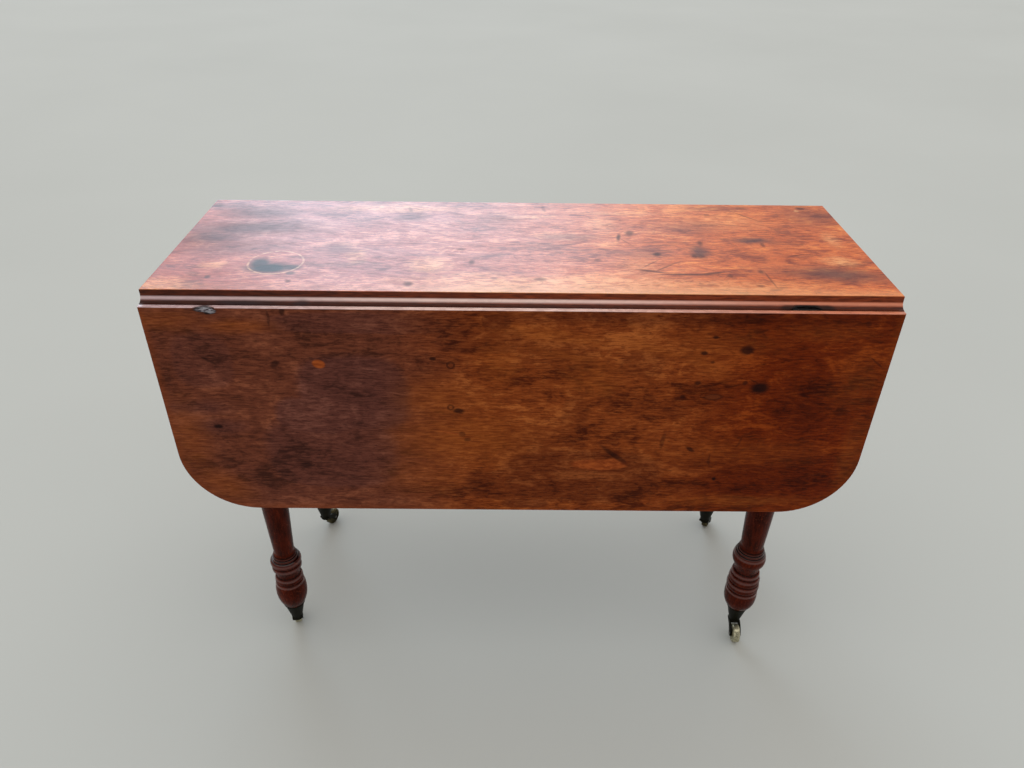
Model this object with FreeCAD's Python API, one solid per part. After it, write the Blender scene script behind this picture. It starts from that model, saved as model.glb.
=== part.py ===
import FreeCAD, Part
import math
import os

from FreeCAD import Vector

# Pembroke table: a narrow fixed top with two wide drop leaves on rule joints, carried by a
# rail frame on four turned legs with brass cup casters.
# X runs along the table, -Y is the front, Z is up from the floor. Millimetres.

# Top and leaves
TABLE_HEIGHT = 728.0
TOP_LENGTH = 1040.0
TOP_WIDTH = 342.0
LEAF_WIDTH = 361.0
LEAF_CORNER_RADIUS = 108.0

# Rule joint: the thickness of the boards follows from it
FILLET_HEIGHT = 7.5
OVOLO_RADIUS = 10.0
RULE_GAP = 0.5

# Table hinges
HINGE_LEG_GAP = 12.0
HINGE_WIDTH = 36.0
BARREL_RADIUS = 3.5
HINGE_PIN_RADIUS = 1.6
PLATE_THICKNESS = 2.2
TOP_PLATE_REACH = 36.0
LEAF_PLATE_REACH = 54.0
KNUCKLES = 5
KNUCKLE_GAP = 0.3
BARREL_ROOM = 0.5
MORTISE_ROOM = 0.15

# Wood screws
SCREW_HEAD_RADIUS = 3.6
SCREW_SHANK_RADIUS = 1.7
SCREW_HEAD_DEPTH = 1.9
SCREW_HEAD_EDGE = 0.3
SCREW_SLOT = 0.9
SCREW_ROOM = 0.04
HINGE_SCREW_LENGTH = 13.0
HINGE_SCREW_SPREAD = 11.0
TOP_SCREW_LENGTH = 34.0
RAIL_SCREW_LENGTH = 34.0

# Legs: square block above, turned below
END_OVERHANG = 80.0
LEG_BLOCK = 60.0
LEG_SETBACK = 6.0
BLOCK_DROP = 18.0
BLOCK_EASE = 1.0
SHOULDER_HEIGHT = 14.0
SHOULDER_CROWN = 2.0

# Turned members, from the foot up; a bow, bulge, swell or depth is how far its arc stands off its chord
BULB_BOW = 2.6
BULB_TOP_BOW = 0.6
STEP_SWELL = 1.6
GROOVE_DEPTH = 2.4
GROOVE_HALF_HEIGHT = 1.7
NECK_RADIUS = 20.8
NECK_COVE_DEPTH = 0.9
RING_BULGE = 3.6
LEDGES = 2
LEDGE_HEIGHT = 5.5
LEDGE_BULGE = 0.5
FOOT_COVE_HEIGHT = 9.0
FOOT_COVE_DEPTH = 1.0
COLUMN_HEAD_RADIUS = 26.5
COLUMN_SWELL = 1.0
HEAD_HEIGHT = 84.0
HEAD_RING_HEIGHT = 10.0
HEAD_RING_BULGE = 2.4
HEAD_NECK_HEIGHT = 24.0
HEAD_NECK_DEPTH = 4.0
HEAD_TORUS_RADIUS = 29.0
HEAD_TORUS_HEIGHT = 22.0
HEAD_COVE_DEPTH = 3.6

# Rail frame
APRON_HEIGHT = 128.0
SIDE_RAIL_THICKNESS = 20.0
END_RAIL_THICKNESS = 22.0
END_SETBACK = 3.0
TENON_THICKNESS = 8.0
TENON_LENGTH = 24.0
TENON_SHOULDER = 24.0

# Fly brackets that hold the leaves up
FLY_THICKNESS = 22.0
FLY_SETBACK = 3.0
FLY_GAP = 0.6
FLY_BRACKET_LENGTH = 237.0
FLY_KNUCKLES = 5
FLY_FINGER_GAP = 0.5
FLY_PIN_RADIUS = 3.0
FLY_TIP_GAP = 3.0
FLY_TIP_HEIGHT = 46.0
FLY_OGEE_LENGTH = 120.0
FLY_OGEE_BOW = 10.0
FLY_TOP_GAP = 0.5
FLY_SCREW_INSET = 36.0

# Drawer at the right end, its rails, runners, cleats and stops
DRAWER_RAIL_HEIGHT = 22.0
DRAWER_RAIL_DEPTH = 46.0
DRAWER_LENGTH = 400.0
DRAWER_SIDE_ROOM = 1.0
DRAWER_TOP_ROOM = 1.2
DRAWER_RUN = 0.3
DRAWER_FRONT_THICKNESS = 20.0
DRAWER_SIDE_THICKNESS = 10.0
DRAWER_BOTTOM_THICKNESS = 6.0
DRAWER_BOTTOM_RISE = 7.0
DRAWER_GROOVE = 4.0
TAIL_LENGTH = 12.0
TAIL_COUNT = 3
TAIL_SLOPE = 0.14
RUNNER_LENGTH = 430.0
RUNNER_WIDTH = 30.0
RUNNER_HEIGHT = 18.0
GUIDE_HEIGHT = 24.0
STOP_LENGTH = 30.0
STOP_HEIGHT = 5.0
CLEAT_SCREW_INSET = 80.0
GLUE_BLOCK_LEG = 20.0
GLUE_BLOCK_LENGTH = 60.0

# Drawer knob
KNOB_LENGTH = 27.0
KNOB_RADIUS = 17.0
KNOB_FACE_RADIUS = 8.5
KNOB_CROWN = 3.0
KNOB_NECK_RADIUS = 7.5
KNOB_NECK_LENGTH = 11.0
KNOB_RIM_LENGTH = 17.5
KNOB_COVE_DEPTH = 1.0
KNOB_FLARE = 3.0
KNOB_TENON_RADIUS = 5.0
KNOB_FIT = 0.04

# Cup casters
CUP_BOTTOM = 36.0
CUP_HEIGHT = 38.0
CUP_TOP_RADIUS = 18.6
CUP_BOTTOM_RADIUS = 9.6
CUP_WALL = 1.6
CUP_FLOOR = 5.0
CUP_FIT = 0.1
CUP_BEAD_HEIGHT = 3.2
CUP_BEAD_BULGE = 1.0
SPIGOT_END_GAP = 6.5
SPINDLE_RADIUS = 4.0
SPINDLE_HEAD_RADIUS = 6.0
SPINDLE_HEAD_HEIGHT = 3.0
CASTER_TRAIL = 20.5
WHEEL_RADIUS = 17.0
WHEEL_WIDTH = 12.0
WHEEL_EDGE = 2.0
WHEEL_EDGE_BULGE = 0.5
WHEEL_DISH = 1.5
WHEEL_HUB_RADIUS = 7.0
WHEEL_SIDE_ROOM = 0.7
WHEEL_TREAD_ROOM = 1.0
AXLE_RADIUS = 2.5
RUNNING_FIT = 0.06
PRESSED_FIT = 0.02
SWIVEL_GAP = 0.4
CROWN_RADIUS = 10.0
CROWN_HEIGHT = 6.0
CROWN_EDGE = 1.0
HORN_THICKNESS = 3.0
HORN_ROOT = 7.0
HORN_HOLLOW = 2.0
HORN_BULGE = 3.0
AXLE_BOSS_RADIUS = 6.0

# Levels and planes that the sizes above fix
PIN_DROP = FILLET_HEIGHT + OVOLO_RADIUS
BOARD_THICKNESS = PIN_DROP + BARREL_RADIUS
COVE_RADIUS = OVOLO_RADIUS + RULE_GAP
UNDERSIDE = TABLE_HEIGHT - BOARD_THICKNESS
PIN_Y = TOP_WIDTH / 2
PIN_Z = TABLE_HEIGHT - PIN_DROP
LEG_X = TOP_LENGTH / 2 - END_OVERHANG - LEG_BLOCK / 2
LEG_Y = PIN_Y - LEG_SETBACK - LEG_BLOCK / 2
LEG_INNER_X = LEG_X - LEG_BLOCK / 2
LEG_INNER_Y = LEG_Y - LEG_BLOCK / 2
HINGE_X = LEG_INNER_X - HINGE_LEG_GAP - HINGE_WIDTH / 2
APRON_BOTTOM = UNDERSIDE - APRON_HEIGHT
BLOCK_BOTTOM = APRON_BOTTOM - BLOCK_DROP
CUP_RIM = CUP_BOTTOM + CUP_HEIGHT
FLY_OUT_Y = LEG_Y + LEG_BLOCK / 2 - FLY_SETBACK
FLY_IN_Y = FLY_OUT_Y - FLY_THICKNESS
FLY_KNUCKLE_X = LEG_INNER_X - FLY_TIP_GAP - FLY_BRACKET_LENGTH
RAIL_IN_Y = FLY_IN_Y - SIDE_RAIL_THICKNESS
END_FACE_X = LEG_X + LEG_BLOCK / 2 - END_SETBACK
OPENING_BOTTOM = APRON_BOTTOM + DRAWER_RAIL_HEIGHT
OPENING_TOP = UNDERSIDE - DRAWER_RAIL_HEIGHT
DRAWER_BOTTOM = OPENING_BOTTOM + DRAWER_RUN
DRAWER_TOP = OPENING_TOP - DRAWER_TOP_ROOM
DRAWER_HALF_WIDTH = LEG_INNER_Y - DRAWER_SIDE_ROOM

X_AXIS = Vector(1, 0, 0)
Y_AXIS = Vector(0, 1, 0)
Z_AXIS = Vector(0, 0, 1)
ORIGIN = Vector(0, 0, 0)

# The legs of the two ends were turned to different patterns. Heights are above the cup's rim; a groove
# has its radius and height, a ring its radius and the heights of its two sides.
LEFT_PATTERN = {
    "bulb_radius": 27.2,
    "bulb_height": 36.0,
    "grooves": [(24.4, 60.5)],
    "neck_height": 75.0,
    "rings": [(26.0, 87.0, 99.0), (27.0, 100.0, 114.0)],
    "foot_radius": 17.5,
}
RIGHT_PATTERN = {
    "bulb_radius": 28.4,
    "bulb_height": 27.0,
    "grooves": [(27.4, 49.0), (26.6, 66.0), (24.4, 82.0)],
    "neck_height": 93.0,
    "rings": [(28.6, 110.0, 136.0)],
    "foot_radius": 19.6,
}


def box(x0, x1, y0, y1, z0, z1):
    return Part.makeBox(x1 - x0, y1 - y0, z1 - z0, Vector(x0, y0, z0))


def rod(radius, length, base, direction):
    return Part.makeCylinder(radius, length, base, direction)


def moved(shape, offset):
    copy = shape.copy()
    copy.translate(offset)
    return copy


def turned_about(shape, axis, angle, centre=ORIGIN):
    copy = shape.copy()
    copy.rotate(centre, axis, angle)
    return copy


def to_rear(shape):
    """The rear side is the front side turned half round the table's middle."""
    return turned_about(shape, Z_AXIS, 180)


def to_back_hand(shape):
    """Mirror across the table's long middle plane."""
    return shape.mirror(ORIGIN, Y_AXIS)


def joined(shapes):
    return shapes[0].fuse(shapes[1:]).removeSplitter()


def save(node, shapes):
    solids = shapes if isinstance(shapes, list) else [shapes]
    shape = solids[0] if len(solids) == 1 else Part.makeCompound(solids)
    shape.exportStep("parts/" + node + ".step")


def outline_wire(points, place):
    """Close an outline of (a, b) points; a third number bows the edge before its point outward."""
    edges = []
    for start, end in zip(points, points[1:] + points[:1]):
        first = place(start[0], start[1])
        last = place(end[0], end[1])
        bow = end[2] if len(end) > 2 else 0.0
        if bow == 0.0:
            edges.append(Part.makeLine(first, last))
            continue
        run_a = end[0] - start[0]
        run_b = end[1] - start[1]
        length = math.hypot(run_a, run_b)
        mid_a = (start[0] + end[0]) / 2 + bow * run_b / length
        mid_b = (start[1] + end[1]) / 2 - bow * run_a / length
        edges.append(Part.Arc(first, place(mid_a, mid_b), last).toShape())
    return Part.Wire(edges)


def revolved(points):
    """Turn a half outline of (radius, height) points round the Z axis."""
    wire = outline_wire(points, lambda a, b: Vector(a, 0, b))
    return Part.Face(wire).revolve(ORIGIN, Z_AXIS, 360)


def extruded_along_x(points, x0, x1):
    wire = outline_wire(points, lambda a, b: Vector(x0, a, b))
    return Part.Face(wire).extrude(Vector(x1 - x0, 0, 0))


def extruded_along_y(points, y0, y1):
    wire = outline_wire(points, lambda a, b: Vector(a, y0, b))
    return Part.Face(wire).extrude(Vector(0, y1 - y0, 0))


def extruded_along_z(points, z0, z1):
    wire = outline_wire(points, lambda a, b: Vector(a, b, z0))
    return Part.Face(wire).extrude(Vector(0, 0, z1 - z0))


# Wood screws

def screw_outline(length, room):
    """Half outline of a countersunk screw, its head flush with height 0 and its point below."""
    head = SCREW_HEAD_RADIUS + room
    shank = SCREW_SHANK_RADIUS + room
    point_height = 2 * SCREW_SHANK_RADIUS
    return [
        (0, 0),
        (0, -length - room),
        (shank, -length + point_height),
        (shank, -SCREW_HEAD_DEPTH - room),
        (head, -SCREW_HEAD_EDGE - room),
        (head, 0),
    ]


def screw(length):
    slot = box(-SCREW_HEAD_RADIUS, SCREW_HEAD_RADIUS, -SCREW_SLOT / 2, SCREW_SLOT / 2, -SCREW_SLOT, 0)
    return revolved(screw_outline(length, 0.0)).cut(slot)


def screw_hole(length):
    return revolved(screw_outline(length, SCREW_ROOM))


def driven(shape, point, direction):
    """Lay a screw or its hole so that it is driven from a point along a direction."""
    placement = FreeCAD.Placement(point, FreeCAD.Rotation(Vector(0, 0, -1), direction))
    copy = shape.copy()
    copy.Placement = placement
    return copy


# Table hinges, worked out round the pin: the top board lies toward +Y, the raised leaf toward -Y

def knuckle_spans(first):
    """X spans of every other knuckle of the hinge barrel."""
    step = HINGE_WIDTH / KNUCKLES
    spans = []
    for index in range(first, KNUCKLES, 2):
        low = -HINGE_WIDTH / 2 + index * step
        spans.append((low + KNUCKLE_GAP / 2, low + step - KNUCKLE_GAP / 2))
    return spans


def hinge_plate(first, reach, bore_fit):
    """One hinge plate reaching toward +Y with its share of the barrel knuckles."""
    half = HINGE_WIDTH / 2
    low = -BARREL_RADIUS
    clear = BARREL_RADIUS + BARREL_ROOM
    pieces = [box(-half, half, clear, reach, low, low + PLATE_THICKNESS)]
    for start, end in knuckle_spans(first):
        pieces.append(box(start, end, 0, clear, low, low + PLATE_THICKNESS))
        pieces.append(rod(BARREL_RADIUS, end - start, Vector(start, 0, 0), X_AXIS))
    bore = rod(HINGE_PIN_RADIUS + bore_fit, HINGE_WIDTH, Vector(-half, 0, 0), X_AXIS)
    return joined(pieces).cut(bore)


def hinge_screw_points(reach):
    """Two screws near the plate's end and one nearer the barrel, on the plate's open face."""
    far = reach - HINGE_SCREW_SPREAD / 2
    near = reach - 2 * HINGE_SCREW_SPREAD
    level = -BARREL_RADIUS
    return [
        Vector(-HINGE_SCREW_SPREAD, far, level),
        Vector(HINGE_SCREW_SPREAD, far, level),
        Vector(0, near, level),
    ]


def hinge_screws(reach, make):
    return [driven(make(HINGE_SCREW_LENGTH), point, Z_AXIS) for point in hinge_screw_points(reach)]


def plate_mortise(near, reach):
    half = HINGE_WIDTH / 2 + MORTISE_ROOM
    low = -BARREL_RADIUS
    return box(-half, half, near, reach + MORTISE_ROOM, low, low + PLATE_THICKNESS)


def hinge_room_in_top():
    """What the fixed top loses to one hinge: plate mortise, barrel channel and the leaf plate's path."""
    half = HINGE_WIDTH / 2 + MORTISE_ROOM
    clear = BARREL_RADIUS + BARREL_ROOM
    channel = rod(clear, 2 * half, Vector(-half, 0, 0), X_AXIS)
    path = box(-half, half, -OVOLO_RADIUS - RULE_GAP, clear, -BARREL_RADIUS, 0)
    cuts = [plate_mortise(0, TOP_PLATE_REACH), channel, path]
    return joined(cuts + hinge_screws(TOP_PLATE_REACH, screw_hole))


def flipped(shape):
    """Turn a hinge piece half round Z, from the top's side of the pin to the leaf's side."""
    return turned_about(shape, Z_AXIS, 180)


def hanging(shape):
    """Drop a piece of the raised leaf about the pin."""
    return turned_about(shape, X_AXIS, 90)


def at_hinges(shape):
    return [moved(shape, Vector(x, -PIN_Y, PIN_Z)) for x in (-HINGE_X, HINGE_X)]


def hinge_holes(plate, reach):
    for hole in hinge_screws(reach, screw_hole):
        plate = plate.cut(hole)
    return plate


# Boards

def top_board():
    """The fixed top with an ovolo and fillet along both long edges."""
    half = PIN_Y
    rise = math.sqrt(OVOLO_RADIUS ** 2 - BARREL_RADIUS ** 2)
    quarter_bow = OVOLO_RADIUS * (1 - math.sqrt(0.5))
    lower_angle = math.asin(BARREL_RADIUS / OVOLO_RADIUS)
    lower_bow = OVOLO_RADIUS * (1 - math.cos(lower_angle / 2))
    outline = [
        (-half, TABLE_HEIGHT),
        (-half, PIN_Z + OVOLO_RADIUS),
        (-half - OVOLO_RADIUS, PIN_Z, -quarter_bow),
        (-half - rise, UNDERSIDE, -lower_bow),
        (half + rise, UNDERSIDE),
        (half + OVOLO_RADIUS, PIN_Z, -lower_bow),
        (half, PIN_Z + OVOLO_RADIUS, -quarter_bow),
        (half, TABLE_HEIGHT),
    ]
    return extruded_along_x(outline, -TOP_LENGTH / 2, TOP_LENGTH / 2)


def raised_leaf():
    """A leaf worked out round its pin, raised level with the top and reaching toward -Y."""
    lip = math.sqrt(COVE_RADIUS ** 2 - RULE_GAP ** 2)
    lip_angle = math.atan2(lip, RULE_GAP)
    cove_bow = COVE_RADIUS * (1 - math.cos(lip_angle / 2))
    section = [
        (-RULE_GAP, PIN_DROP),
        (-LEAF_WIDTH, PIN_DROP),
        (-LEAF_WIDTH, -BARREL_RADIUS),
        (-COVE_RADIUS, -BARREL_RADIUS),
        (-COVE_RADIUS, 0),
        (-RULE_GAP, lip, -cove_bow),
    ]
    half = TOP_LENGTH / 2
    corner = LEAF_CORNER_RADIUS
    corner_bow = corner * (1 - math.sqrt(0.5))
    plan = [
        (half, 0),
        (-half, 0),
        (-half, corner - LEAF_WIDTH),
        (corner - half, -LEAF_WIDTH, corner_bow),
        (half - corner, -LEAF_WIDTH),
        (half, corner - LEAF_WIDTH, corner_bow),
    ]
    board = extruded_along_x(section, -half, half)
    return board.common(extruded_along_z(plan, -BARREL_RADIUS, PIN_DROP))


# Legs

def cup_slope():
    """How much the caster cup widens for each millimetre of height."""
    return (CUP_TOP_RADIUS - CUP_BOTTOM_RADIUS) / CUP_HEIGHT


def spigot_outline():
    """The leg's end inside the caster cup, up to the cup's rim."""
    wall = CUP_WALL + CUP_FIT
    end = CUP_BOTTOM + CUP_FLOOR + SPIGOT_END_GAP
    end_radius = CUP_BOTTOM_RADIUS + cup_slope() * (end - CUP_BOTTOM) - wall
    return [(0, end), (end_radius, end), (CUP_TOP_RADIUS - wall, CUP_RIM), (CUP_TOP_RADIUS, CUP_RIM)]


def foot_outline(pattern):
    """Bulb, grooves, neck, rings and ledges of a leg's foot, up to the foot of its column."""
    points = [(pattern["bulb_radius"], CUP_RIM + pattern["bulb_height"], BULB_BOW)]
    bow = BULB_TOP_BOW
    for radius, height in pattern["grooves"]:
        level = CUP_RIM + height
        points.append((radius, level - GROOVE_HALF_HEIGHT, bow))
        points.append((radius - GROOVE_DEPTH, level))
        points.append((radius, level + GROOVE_HALF_HEIGHT))
        bow = STEP_SWELL
    points.append((NECK_RADIUS, CUP_RIM + pattern["neck_height"], bow))
    approach = -NECK_COVE_DEPTH
    for radius, low, high in pattern["rings"]:
        side = radius - RING_BULGE
        points.append((side, CUP_RIM + low, approach))
        points.append((side, CUP_RIM + high, RING_BULGE))
        approach = 0.0
    foot = pattern["foot_radius"]
    ring_side, level = points[-1][:2]
    step = (ring_side - foot) / (LEDGES + 1)
    for ledge in range(1, LEDGES + 1):
        radius = ring_side - ledge * step
        points.append((radius, level))
        level += LEDGE_HEIGHT
        points.append((radius, level, LEDGE_BULGE))
    points.append((foot, level + FOOT_COVE_HEIGHT, -FOOT_COVE_DEPTH))
    return points


def head_outline():
    """The column's swelling shaft with ring, hollow neck, torus and cove, up to inside the block."""
    ring_low = BLOCK_BOTTOM - HEAD_HEIGHT
    ring_high = ring_low + HEAD_RING_HEIGHT
    torus_low = ring_high + HEAD_NECK_HEIGHT
    torus_side = HEAD_TORUS_RADIUS - RING_BULGE
    block_foot = LEG_BLOCK / 2 - BLOCK_EASE
    return [
        (COLUMN_HEAD_RADIUS, ring_low, COLUMN_SWELL),
        (COLUMN_HEAD_RADIUS, ring_high, HEAD_RING_BULGE),
        (torus_side, torus_low, -HEAD_NECK_DEPTH),
        (torus_side, torus_low + HEAD_TORUS_HEIGHT, RING_BULGE),
        (block_foot, BLOCK_BOTTOM, -HEAD_COVE_DEPTH),
        (block_foot, BLOCK_BOTTOM + SHOULDER_HEIGHT),
        (0, BLOCK_BOTTOM + SHOULDER_HEIGHT),
    ]


def plain_leg(pattern):
    """Square block with turned-off shoulder corners, fused to its turned shaft, on the Z axis."""
    half = LEG_BLOCK / 2
    corner = half * math.sqrt(2) + BLOCK_EASE
    block = box(-half, half, -half, half, BLOCK_BOTTOM, UNDERSIDE)
    lathe_limit = revolved([
        (0, BLOCK_BOTTOM),
        (half - BLOCK_EASE, BLOCK_BOTTOM),
        (corner, BLOCK_BOTTOM + SHOULDER_HEIGHT, SHOULDER_CROWN),
        (corner, UNDERSIDE),
        (0, UNDERSIDE),
    ])
    shaft = revolved(spigot_outline() + foot_outline(pattern) + head_outline())
    return joined([block.common(lathe_limit), shaft])


# Rails with their tenons

def side_rail():
    """Inner rail of the front long side, tenoned into both legs."""
    rail = box(-LEG_INNER_X, LEG_INNER_X, -FLY_IN_Y, -RAIL_IN_Y, APRON_BOTTOM, UNDERSIDE)
    middle = (FLY_IN_Y + RAIL_IN_Y) / 2
    reach = LEG_INNER_X + TENON_LENGTH
    low = APRON_BOTTOM + TENON_SHOULDER
    high = UNDERSIDE - TENON_SHOULDER
    tenons = box(-reach, reach, -middle - TENON_THICKNESS / 2, -middle + TENON_THICKNESS / 2, low, high)
    return joined([rail, tenons])


def end_rail():
    """Plain rail across the left end, tenoned into both legs."""
    inner = -END_FACE_X + END_RAIL_THICKNESS
    rail = box(-END_FACE_X, inner, -LEG_INNER_Y, LEG_INNER_Y, APRON_BOTTOM, UNDERSIDE)
    middle = -END_FACE_X + END_RAIL_THICKNESS / 2
    reach = LEG_INNER_Y + TENON_LENGTH
    low = APRON_BOTTOM + TENON_SHOULDER
    high = UNDERSIDE - TENON_SHOULDER
    tenons = box(middle - TENON_THICKNESS / 2, middle + TENON_THICKNESS / 2, -reach, reach, low, high)
    return joined([rail, tenons])


def lower_drawer_rail():
    """Flat rail under the drawer, with a flat tenon into each leg."""
    inner = END_FACE_X - DRAWER_RAIL_DEPTH
    rail = box(inner, END_FACE_X, -LEG_INNER_Y, LEG_INNER_Y, APRON_BOTTOM, OPENING_BOTTOM)
    reach = LEG_INNER_Y + TENON_LENGTH
    low = APRON_BOTTOM + (DRAWER_RAIL_HEIGHT - TENON_THICKNESS) / 2
    high = low + TENON_THICKNESS
    tenons = box(inner + TENON_THICKNESS, END_FACE_X - TENON_THICKNESS, -reach, reach, low, high)
    return joined([rail, tenons])


def upper_drawer_rail():
    """Flat rail over the drawer, with a dovetail let into the top of each leg."""
    inner = END_FACE_X - DRAWER_RAIL_DEPTH
    rail = box(inner, END_FACE_X, -LEG_INNER_Y, LEG_INNER_Y, OPENING_TOP, UNDERSIDE)
    middle = END_FACE_X - DRAWER_RAIL_DEPTH / 2
    root = DRAWER_RAIL_DEPTH / 2 - TENON_THICKNESS
    flare = root + TENON_LENGTH * TAIL_SLOPE
    reach = LEG_INNER_Y + TENON_LENGTH
    tail = [
        (middle - root, LEG_INNER_Y),
        (middle + root, LEG_INNER_Y),
        (middle + flare, reach),
        (middle - flare, reach),
    ]
    rear_tail = extruded_along_z(tail, UNDERSIDE - DRAWER_RAIL_HEIGHT / 2, UNDERSIDE)
    return joined([rail, rear_tail, to_back_hand(rear_tail)])


# Outer rail and fly brackets of the front side

def fly_levels(first):
    """Height spans of every other finger of the wooden knuckle."""
    low = APRON_BOTTOM
    step = (UNDERSIDE - FLY_TOP_GAP - APRON_BOTTOM) / FLY_KNUCKLES
    spans = []
    for index in range(first, FLY_KNUCKLES, 2):
        spans.append((low + index * step, low + (index + 1) * step))
    return spans


def fly_pin_point(side):
    return Vector(side * FLY_KNUCKLE_X, -(FLY_OUT_Y + FLY_IN_Y) / 2, APRON_BOTTOM)


def with_fingers(body, side, first):
    """Give a board end its rounded fingers on the pin, and room for its partner's fingers."""
    radius = FLY_THICKNESS / 2 - FLY_GAP
    centre = fly_pin_point(side)
    for low, high in fly_levels(1 - first):
        base = Vector(centre.x, centre.y, low - FLY_FINGER_GAP / 2)
        room = FLY_THICKNESS / 2 + FLY_GAP
        body = body.cut(rod(room, high - low + FLY_FINGER_GAP, base, Z_AXIS))
    fingers = [body]
    for low, high in fly_levels(first):
        start = max(low + FLY_FINGER_GAP / 2, APRON_BOTTOM)
        end = high - FLY_FINGER_GAP / 2
        fingers.append(rod(radius, end - start, Vector(centre.x, centre.y, start), Z_AXIS))
    hole = rod(FLY_PIN_RADIUS + RUNNING_FIT, APRON_HEIGHT, centre, Z_AXIS)
    return joined(fingers).cut(hole)


def fly_rail():
    """Fixed middle of the outer rail, screwed to the inner rail."""
    top = UNDERSIDE - FLY_TOP_GAP
    body = box(-FLY_KNUCKLE_X, FLY_KNUCKLE_X, -FLY_OUT_Y, -FLY_IN_Y, APRON_BOTTOM, top)
    for side in (-1, 1):
        body = with_fingers(body, side, 0)
    return body


def fly_bracket(side):
    """Swinging bracket, with an ogee cut away under its free end for the fingers."""
    top = UNDERSIDE - FLY_TOP_GAP
    tip = LEG_INNER_X - FLY_TIP_GAP
    cut_start = tip - FLY_OGEE_LENGTH
    tip_low = top - FLY_TIP_HEIGHT
    mid_x = (cut_start + tip) / 2
    mid_z = (APRON_BOTTOM + tip_low) / 2
    outline = [
        (side * FLY_KNUCKLE_X, top),
        (side * FLY_KNUCKLE_X, APRON_BOTTOM),
        (side * cut_start, APRON_BOTTOM),
        (side * mid_x, mid_z, side * FLY_OGEE_BOW),
        (side * tip, tip_low, -side * FLY_OGEE_BOW),
        (side * tip, top),
    ]
    body = extruded_along_y(outline, -FLY_OUT_Y, -FLY_IN_Y - FLY_GAP)
    return with_fingers(body, side, 1)


def fly_pin(side):
    length = UNDERSIDE - FLY_TOP_GAP - APRON_BOTTOM
    return rod(FLY_PIN_RADIUS, length, fly_pin_point(side), Z_AXIS)


# Drawer

def tails(root_x, length, half_outer):
    """Dovetail tails on the front-hand drawer side, running toward +X from their root."""
    low = DRAWER_BOTTOM + DRAWER_BOTTOM_RISE + DRAWER_BOTTOM_THICKNESS
    step = (DRAWER_TOP - low) / TAIL_COUNT
    flare = abs(length) * TAIL_SLOPE
    pieces = []
    for index in range(TAIL_COUNT):
        centre = low + (index + 0.5) * step
        half = step / 4
        outline = [
            (root_x, centre - half),
            (root_x + length, centre - half - flare),
            (root_x + length, centre + half + flare),
            (root_x, centre + half),
        ]
        pieces.append(extruded_along_y(outline, -half_outer, -half_outer + DRAWER_SIDE_THICKNESS))
    return pieces


def drawer_pieces():
    """Front, two sides, back and bottom, dovetailed and grooved together."""
    half = DRAWER_HALF_WIDTH
    inner_half = half - DRAWER_SIDE_THICKNESS
    front_in = END_FACE_X - DRAWER_FRONT_THICKNESS
    back_out = END_FACE_X - DRAWER_LENGTH
    back_in = back_out + DRAWER_SIDE_THICKNESS
    groove_low = DRAWER_BOTTOM + DRAWER_BOTTOM_RISE
    groove_high = groove_low + DRAWER_BOTTOM_THICKNESS
    bottom_half = inner_half + DRAWER_GROOVE
    bottom = box(back_out, front_in + DRAWER_GROOVE, -bottom_half, bottom_half, groove_low, groove_high)
    front_tails = tails(front_in, TAIL_LENGTH, half)
    back_tails = tails(back_in, -DRAWER_SIDE_THICKNESS, half)
    plank = box(back_in, front_in, -half, -inner_half, DRAWER_BOTTOM, DRAWER_TOP)
    below_back = box(back_out, back_in, -half, -inner_half, DRAWER_BOTTOM, groove_high)
    side = joined([plank, below_back] + front_tails + back_tails).cut(bottom)
    front = box(front_in, END_FACE_X, -half, half, DRAWER_BOTTOM, DRAWER_TOP).cut(bottom)
    back = box(back_out, back_in, -half, half, groove_high, DRAWER_TOP)
    for tail in front_tails:
        front = front.cut(tail).cut(to_back_hand(tail))
    for tail in back_tails:
        back = back.cut(tail).cut(to_back_hand(tail))
    socket = rod(KNOB_TENON_RADIUS + KNOB_FIT, DRAWER_FRONT_THICKNESS, knob_point(), X_AXIS)
    return front.cut(socket), side, to_back_hand(side), back, bottom


def knob_point():
    return Vector(END_FACE_X - DRAWER_FRONT_THICKNESS, 0, (DRAWER_BOTTOM + DRAWER_TOP) / 2)


def drawer_knob():
    """Turned mushroom knob with a tenon through the drawer front."""
    face = DRAWER_FRONT_THICKNESS
    tip = face + KNOB_LENGTH
    knob = revolved([
        (0, 0),
        (KNOB_TENON_RADIUS, 0),
        (KNOB_TENON_RADIUS, face),
        (KNOB_NECK_RADIUS + KNOB_FLARE, face),
        (KNOB_NECK_RADIUS, face + KNOB_NECK_LENGTH, -KNOB_COVE_DEPTH),
        (KNOB_RADIUS, face + KNOB_RIM_LENGTH, -KNOB_COVE_DEPTH),
        (KNOB_FACE_RADIUS, tip, KNOB_CROWN),
        (0, tip),
    ])
    return moved(turned_about(knob, Y_AXIS, 90), knob_point())


def runner():
    """Drawer runner of the front side: a ledge with a guide strip, fixed to the inner rail."""
    x1 = LEG_INNER_X
    x0 = x1 - RUNNER_LENGTH
    ledge = box(x0, x1, -RAIL_IN_Y, -RAIL_IN_Y + RUNNER_WIDTH, OPENING_BOTTOM - RUNNER_HEIGHT, OPENING_BOTTOM)
    guide = box(x0, x1, -RAIL_IN_Y, -LEG_INNER_Y, OPENING_BOTTOM, OPENING_BOTTOM + GUIDE_HEIGHT)
    return joined([ledge, guide])


def cleat():
    """Strip under the top on the front side: it holds the top and keeps the drawer level."""
    return box(-LEG_INNER_X, LEG_INNER_X, -RAIL_IN_Y, -RAIL_IN_Y + RUNNER_WIDTH, OPENING_TOP, UNDERSIDE)


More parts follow.
